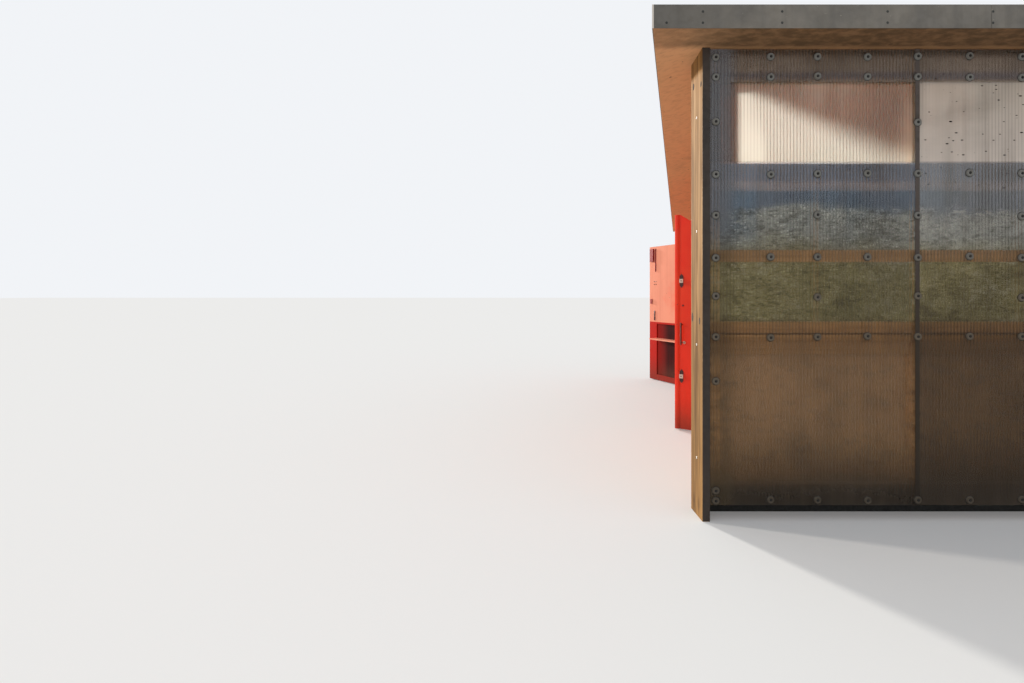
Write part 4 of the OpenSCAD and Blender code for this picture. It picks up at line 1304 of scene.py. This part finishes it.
class HUT_OT_dress_fascia(Operator):
    """Finish the metal fascia and add its fixings"""
    bl_idname = "hut.dress_fascia"
    bl_label = "Dress the fascia"

    def execute(self, context):
        c, s = colours(), sizes()
        lo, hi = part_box("near_fascia")
        metal = (c.fascia_light, c.fascia_dark)
        put_on(weathered_metal("Weathered Fascia", *metal, lo.x + LIT_TIP), "near_fascia")
        put_on(weathered_metal("Weathered Fascia Rest", *metal),
               "front_fascia", "far_fascia", "rear_fascia")
        template = screw_template(s.fixing_h)
        fixings = bmesh.new()
        for start, end in roof_edges():
            run = (end - start).length
            along = (end - start).normalized()
            count = int((run - END_ROOM - SECOND_PAIR) / s.fixing_step) + 1
            pairs = [FIRST_PAIR, *(SECOND_PAIR + i * s.fixing_step for i in range(count))]
            places = [(d, drop) for d in pairs for drop in FIXING_DROPS]
            for d, drop in [(LONE_FIXING, FIXING_DROPS[1]), *places]:
                spot = start + along * d
                spot.z = hi.z - (spot.y - lo.y) * roof_fall() - drop
                stamp(fixings, template, facing(spot, along.cross(Z_AXIS)))
        dull = plain_paint("Fascia Fixings", (0.06, 0.06, 0.055), 0.5, 0.6)
        finish_piece("fascia_fixings", "fascia", fixings, dull, dull, smooth=True)
        return {"FINISHED"}


def add_cushion(bm, dice, place, normal, ceiling):
    """A flat uneven tuft of moss that hugs the bed's surface, kept under a ceiling."""
    r = dice.uniform(0.04, 0.085)
    rise = dice.uniform(0.007, 0.013)
    lie = normal.to_track_quat("Z", "Y").to_matrix().to_4x4()
    size = Matrix.Diagonal((r, r * dice.uniform(0.7, 1.1), rise, 1))
    turn = Matrix.Rotation(dice.uniform(0, math.pi), 4, "Z")
    made = bmesh.ops.create_icosphere(
        bm, subdivisions=2, radius=1, matrix=Matrix.Translation(place) @ lie @ turn @ size
    )["verts"]
    for v in made:
        v.co += Vector([dice.uniform(-1, 1) * rise * 0.25 for _ in range(3)])
        v.co.z = min(v.co.z, ceiling)


def add_stems(bm, dice, place, room):
    """A few dry stems as slim three-sided cones, no taller than their room."""
    for _ in range(dice.randint(3, 6)):
        height = min(dice.uniform(0.03, 0.06), room)
        lean = Matrix.Rotation(dice.gauss(0, 0.3), 4, "X")
        lean = lean @ Matrix.Rotation(dice.gauss(0, 0.3), 4, "Y")
        spot = place + Vector((dice.gauss(0, 0.03), dice.gauss(0, 0.03), -0.005))
        bmesh.ops.create_cone(
            bm, cap_ends=True, segments=3, radius1=0.0028, radius2=0.0006, depth=height,
            matrix=Matrix.Translation(spot) @ lean @ Matrix.Translation((0, 0, height / 2)),
        )


class HUT_OT_plant_roof(Operator):
    """Plant the roof's bed with cushions of moss and dry stems"""
    bl_idname = "hut.plant_roof"
    bl_label = "Plant the roof"

    def execute(self, context):
        put_on(moss_material("Moss Bed", (0.10, 0.11, 0.03), (0.22, 0.17, 0.075)), "roof_bed")
        bed = surface("roof_bed")
        lo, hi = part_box("roof_bed")
        dice = random.Random(7)
        step = sizes().tuft_step
        cushions, stems = bmesh.new(), bmesh.new()
        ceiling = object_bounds()[1].z - 0.002
        for i in range(int((hi.x - lo.x) / step)):
            batch, blades = bmesh.new(), bmesh.new()
            for j in range(int((hi.y - lo.y) / step)):
                x = lo.x + (i + dice.random()) * step
                y = lo.y + (j + dice.random()) * step
                hit, normal, *_ = bed.ray_cast(Vector((x, y, hi.z + 1)), -Z_AXIS)
                if hit is None or normal.z < STEEPEST:
                    continue
                add_cushion(batch, dice, hit, normal, ceiling)
                if dice.random() < STEMMED:
                    add_stems(blades, dice, hit, ceiling - hit.z)
            cushions.from_mesh(mesh_from("batch", batch))
            stems.from_mesh(mesh_from("batch", blades))
        green = moss_material("Moss Cushions", (0.12, 0.14, 0.035), (0.26, 0.20, 0.08))
        finish_piece("roof_moss", "planting", cushions, green, smooth=True)
        straw = plain_paint("Dry Stems", (0.36, 0.27, 0.12), 0.85, spread=0.5)
        finish_piece("roof_stems", "planting", stems, straw)
        return {"FINISHED"}


# Doors

def leaf_faces(name):
    """A leaf's front direction, and where its recess's floor and its outer face lie along it."""
    large = [p for p in NODES[name].data.polygons if p.area > 0.2]
    front = max((p for p in large if p.normal.x < -0.5), key=lambda p: p.area)
    out = Vector(front.normal)
    floor_out = min(p.center.dot(out) for p in large if p.normal.dot(out) > 0.5)
    outside = max(p.center.dot(out) for p in large if p.normal.dot(out) < -0.5)
    return out, floor_out, outside


def near_leaf_out():
    """The near leaf's outward direction, read from its largest flat face."""
    face = max(NODES["near_door_leaf"].data.polygons, key=lambda p: p.area)
    out = Vector(face.normal)
    return out if out.y < 0 else -out


def on_leaf(name, place, out):
    """The spot on a leaf's face in front of or behind a place, along its outward direction."""
    hit, *_ = surface(name).ray_cast(Vector(place) + out * 0.3, -out)
    if hit is None:
        raise RuntimeError(f"a fitting misses {name}")
    return hit


def lug_faces(out):
    """The middle of each hasp's lug, on its outermost face."""
    spots = [Vector(v.co) for v in NODES["near_door_hasps"].data.vertices]
    reach = max(p.dot(out) for p in spots)
    spots = [p for p in spots if p.dot(out) > reach - 0.0005]
    middle = sum(p.z for p in spots) / len(spots)
    for upper in (True, False):
        group = [p for p in spots if (p.z > middle) == upper]
        yield sum(group, Vector()) / len(group)


class HUT_OT_paint_doors(Operator):
    """Paint the doors, their frame and their fittings red"""
    bl_idname = "hut.paint_doors"
    bl_label = "Paint the doors"

    def execute(self, context):
        c = colours()
        put_on(red_paint("Red Paint", c.paint, c.paint_worn),
               "near_door_leaf", "door_jambs", "frame_hinges", "near_door_hinges",
               "far_door_hinges")
        # Its dark tone paints the shade on the handle
        put_on(plain_paint("Dark Handle", (0.14, 0.024, 0.016), 0.45), "near_door_handle")
        put_on(hasp_paint("Hasps", near_leaf_out()), "near_door_hasps")
        deep_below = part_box("far_door_shelf")[1].z + RECESS_OVER_SHELF
        # The far leaf's pale paint is a painted sunlit highlight; its deep red below the shelf is
        # painted shade
        put_on(red_paint("Bleached Red Paint", c.paint_sunlit, c.paint_worn, c.paint_shaded,
                         deep_below, leaf_faces("far_door_leaf")), "far_door_leaf")
        # pale paint as a painted sunlit highlight
        put_on(red_paint("Pale Red Paint", c.paint_sunlit, c.paint_worn), "far_door_shelf")
        put_on(plain_paint("Dark Red Bolt", (0.34, 0.014, 0.016), 0.4), "far_door_bolt")
        return {"FINISHED"}


class HUT_OT_fit_doors(Operator):
    """Add the lock plate, keyhole, pull ring and latch strip to the doors"""
    bl_idname = "hut.fit_doors"
    bl_label = "Fit the doors"

    def execute(self, context):
        dark = plain_paint("Dark Fittings", (0.10, 0.020, 0.016), 0.45)
        pale = plain_paint("Pale Fittings", (0.70, 0.42, 0.36), 0.4, 0.3)
        plate = turned([(0, 0.004), (0.007, 0.004), (0.009, 0.002), (0.009, 0), (0, 0)], 12)
        dot = turned([(0, 0.001), (0.006, 0.001), (0.006, 0), (0, 0)], 12)
        ring = turned([
            (0.007, 0.001), (0.009, 0.006), (0.013, 0.006), (0.015, 0.001), (0.015, 0),
            (0.007, 0),
        ], 16)
        out = leaf_faces("far_door_leaf")[0]
        far = bmesh.new()
        for place in LOCK_DOTS:
            stamp(far, plate, facing(on_leaf("far_door_leaf", place, out), out))
        bar = facing(on_leaf("far_door_leaf", LATCH_STRIP, out), out)
        block(far, (-0.012, -0.075, 0), (0.012, 0.075, 0.008), 0.002, bar)
        finish_piece("far_door_fittings", "red_paint", far, dark, body="far_door", smooth=True)

        out = near_leaf_out()
        for name, template, spots, material, smooth in (
            ("keyhole", plate, [on_leaf("near_door_leaf", KEYHOLE, out)], dark, True),
            ("lug_holes", dot, lug_faces(out), dark, False),
            ("pull_ring", ring, [on_leaf("near_door_leaf", PULL_RING, out)], pale, True),
        ):
            near = bmesh.new()
            for spot in spots:
                stamp(near, template, facing(spot, out))
            finish_piece(f"near_door_{name}", "red_paint", near, material,
                         body="near_door", smooth=smooth)
        return {"FINISHED"}


# Stage

CAMERA_PLACE = (-3.785, -5.298, 1.39)
HORIZON_ROW = 292
PHOTO_SIZE = (1024, 683)
# Lamps as (name, direction of travel, strength, spread in degrees, colour)
LAMPS = (
    ("key", (0.92, -0.30, -0.36), 1.5, 4, (1.0, 0.90, 0.78)),
    ("kicker", (0.50, -0.86, -0.25), 3.7, 6, (1.0, 0.95, 0.86)),
)


def stage_floor():
    """A wide pale floor; camera rays see it a little brighter than it is lit."""
    bm = bmesh.new()
    bmesh.ops.create_grid(bm, x_segments=2, y_segments=2, size=120)
    f = Finish("Stage Floor", Roughness=1.0, Specular_IOR_Level=0.0, Emission_Color=(1, 1, 1))
    f.set(Emission_Strength=f.node("LightPath")["Is Camera Ray"] * 0.12)
    floor = placed("stage_floor", mesh_from("stage_floor", bm))
    floor.data.materials.append(f.done(colours().stage))
    floor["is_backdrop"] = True


def stage_world(scene):
    """A plain soft sky that is pale where the camera sees it."""
    scene.world = bpy.data.worlds.new("Soft Studio")
    scene.world.use_nodes = True
    g = Graph(scene.world.node_tree)
    sky = g.tree.nodes["Background"].inputs
    path = g.node("LightPath")
    seen = g.math("MAXIMUM", path["Is Camera Ray"], path["Is Glossy Ray"])
    seen = g.math("MAXIMUM", seen, path["Is Transmission Ray"])
    g.feed(sky["Color"], (0.93, 0.95, 0.98))
    g.feed(sky["Strength"], g.ramp(seen, 0, 1, 0.62, 0.95))


def stage_lights():
    """Two low lamps from the left: one along the hut's front, one from behind it."""
    for name, travel, strength, spread, tone in LAMPS:
        data = bpy.data.lights.new(name, "SUN")
        data.energy = strength
        data.angle = math.radians(spread)
        data.color = tone
        lamp = placed(name, data)
        travel = Vector(travel).normalized()
        lamp.location = -travel * 12
        lamp.rotation_euler = travel.to_track_quat("-Z", "Y").to_euler()


def stage_camera(scene):
    """A level wide view along the near wall's side of the hut."""
    data = bpy.data.cameras.new("camera")
    data.lens = 18
    data.sensor_width = 36
    data.shift_y = (HORIZON_ROW - PHOTO_SIZE[1] / 2) / PHOTO_SIZE[0]
    data.clip_end = 400
    scene.camera = placed("camera", data)
    scene.camera.location = CAMERA_PLACE
    scene.camera.rotation_euler = (math.pi / 2, 0, 0)


class HUT_OT_set_stage(Operator):
    """Set the floor, the backdrop, the lights and the camera"""
    bl_idname = "hut.set_stage"
    bl_label = "Set the stage"

    def execute(self, context):
        scene = context.scene
        stage_floor()
        stage_world(scene)
        stage_lights()
        stage_camera(scene)
        scene.view_settings.view_transform = "Standard"
        scene.cycles.transparent_max_bounces = 40
        return {"FINISHED"}


# Registration

OPERATORS = [
    HUT_OT_dress_timber, HUT_OT_lay_floor, HUT_OT_trim_boards, HUT_OT_dress_sheets,
    HUT_OT_fix_sheets, HUT_OT_set_middle_battens, HUT_OT_fill_trays, HUT_OT_dress_fascia,
    HUT_OT_plant_roof, HUT_OT_paint_doors, HUT_OT_fit_doors, HUT_OT_set_stage,
]


class HUT_PT_finish(Panel):
    """Lists the steps that finish the hut"""
    bl_idname = "HUT_PT_finish"
    bl_label = "Beach Hut"
    bl_space_type = "VIEW_3D"
    bl_region_type = "UI"
    bl_category = "Beach Hut"

    def draw(self, context):
        for operator in OPERATORS:
            self.layout.operator(operator.bl_idname)
        for group in (sizes(), colours()):
            box = self.layout.box()
            for name in group.bl_rna.properties.keys():
                if name not in ("rna_type", "name"):
                    box.prop(group, name)


CLASSES = [HutSizes, HutColours, *OPERATORS, HUT_PT_finish]


def register():
    for cls in CLASSES:
        bpy.utils.register_class(cls)
    bpy.types.Scene.hut_sizes = PointerProperty(type=HutSizes)
    bpy.types.Scene.hut_colours = PointerProperty(type=HutColours)


def unregister():
    del bpy.types.Scene.hut_colours
    del bpy.types.Scene.hut_sizes
    for cls in reversed(CLASSES):
        bpy.utils.unregister_class(cls)


def main():
    """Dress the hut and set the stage."""
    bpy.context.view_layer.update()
    register()
    bpy.ops.hut.dress_timber()
    bpy.ops.hut.lay_floor()
    bpy.ops.hut.trim_boards()
    bpy.ops.hut.dress_sheets()
    bpy.ops.hut.fix_sheets()
    bpy.ops.hut.set_middle_battens()
    bpy.ops.hut.fill_trays()
    bpy.ops.hut.dress_fascia()
    bpy.ops.hut.plant_roof()
    bpy.ops.hut.paint_doors()
    bpy.ops.hut.fit_doors()
    bpy.ops.hut.set_stage()


if __name__ == "__main__":
    main()
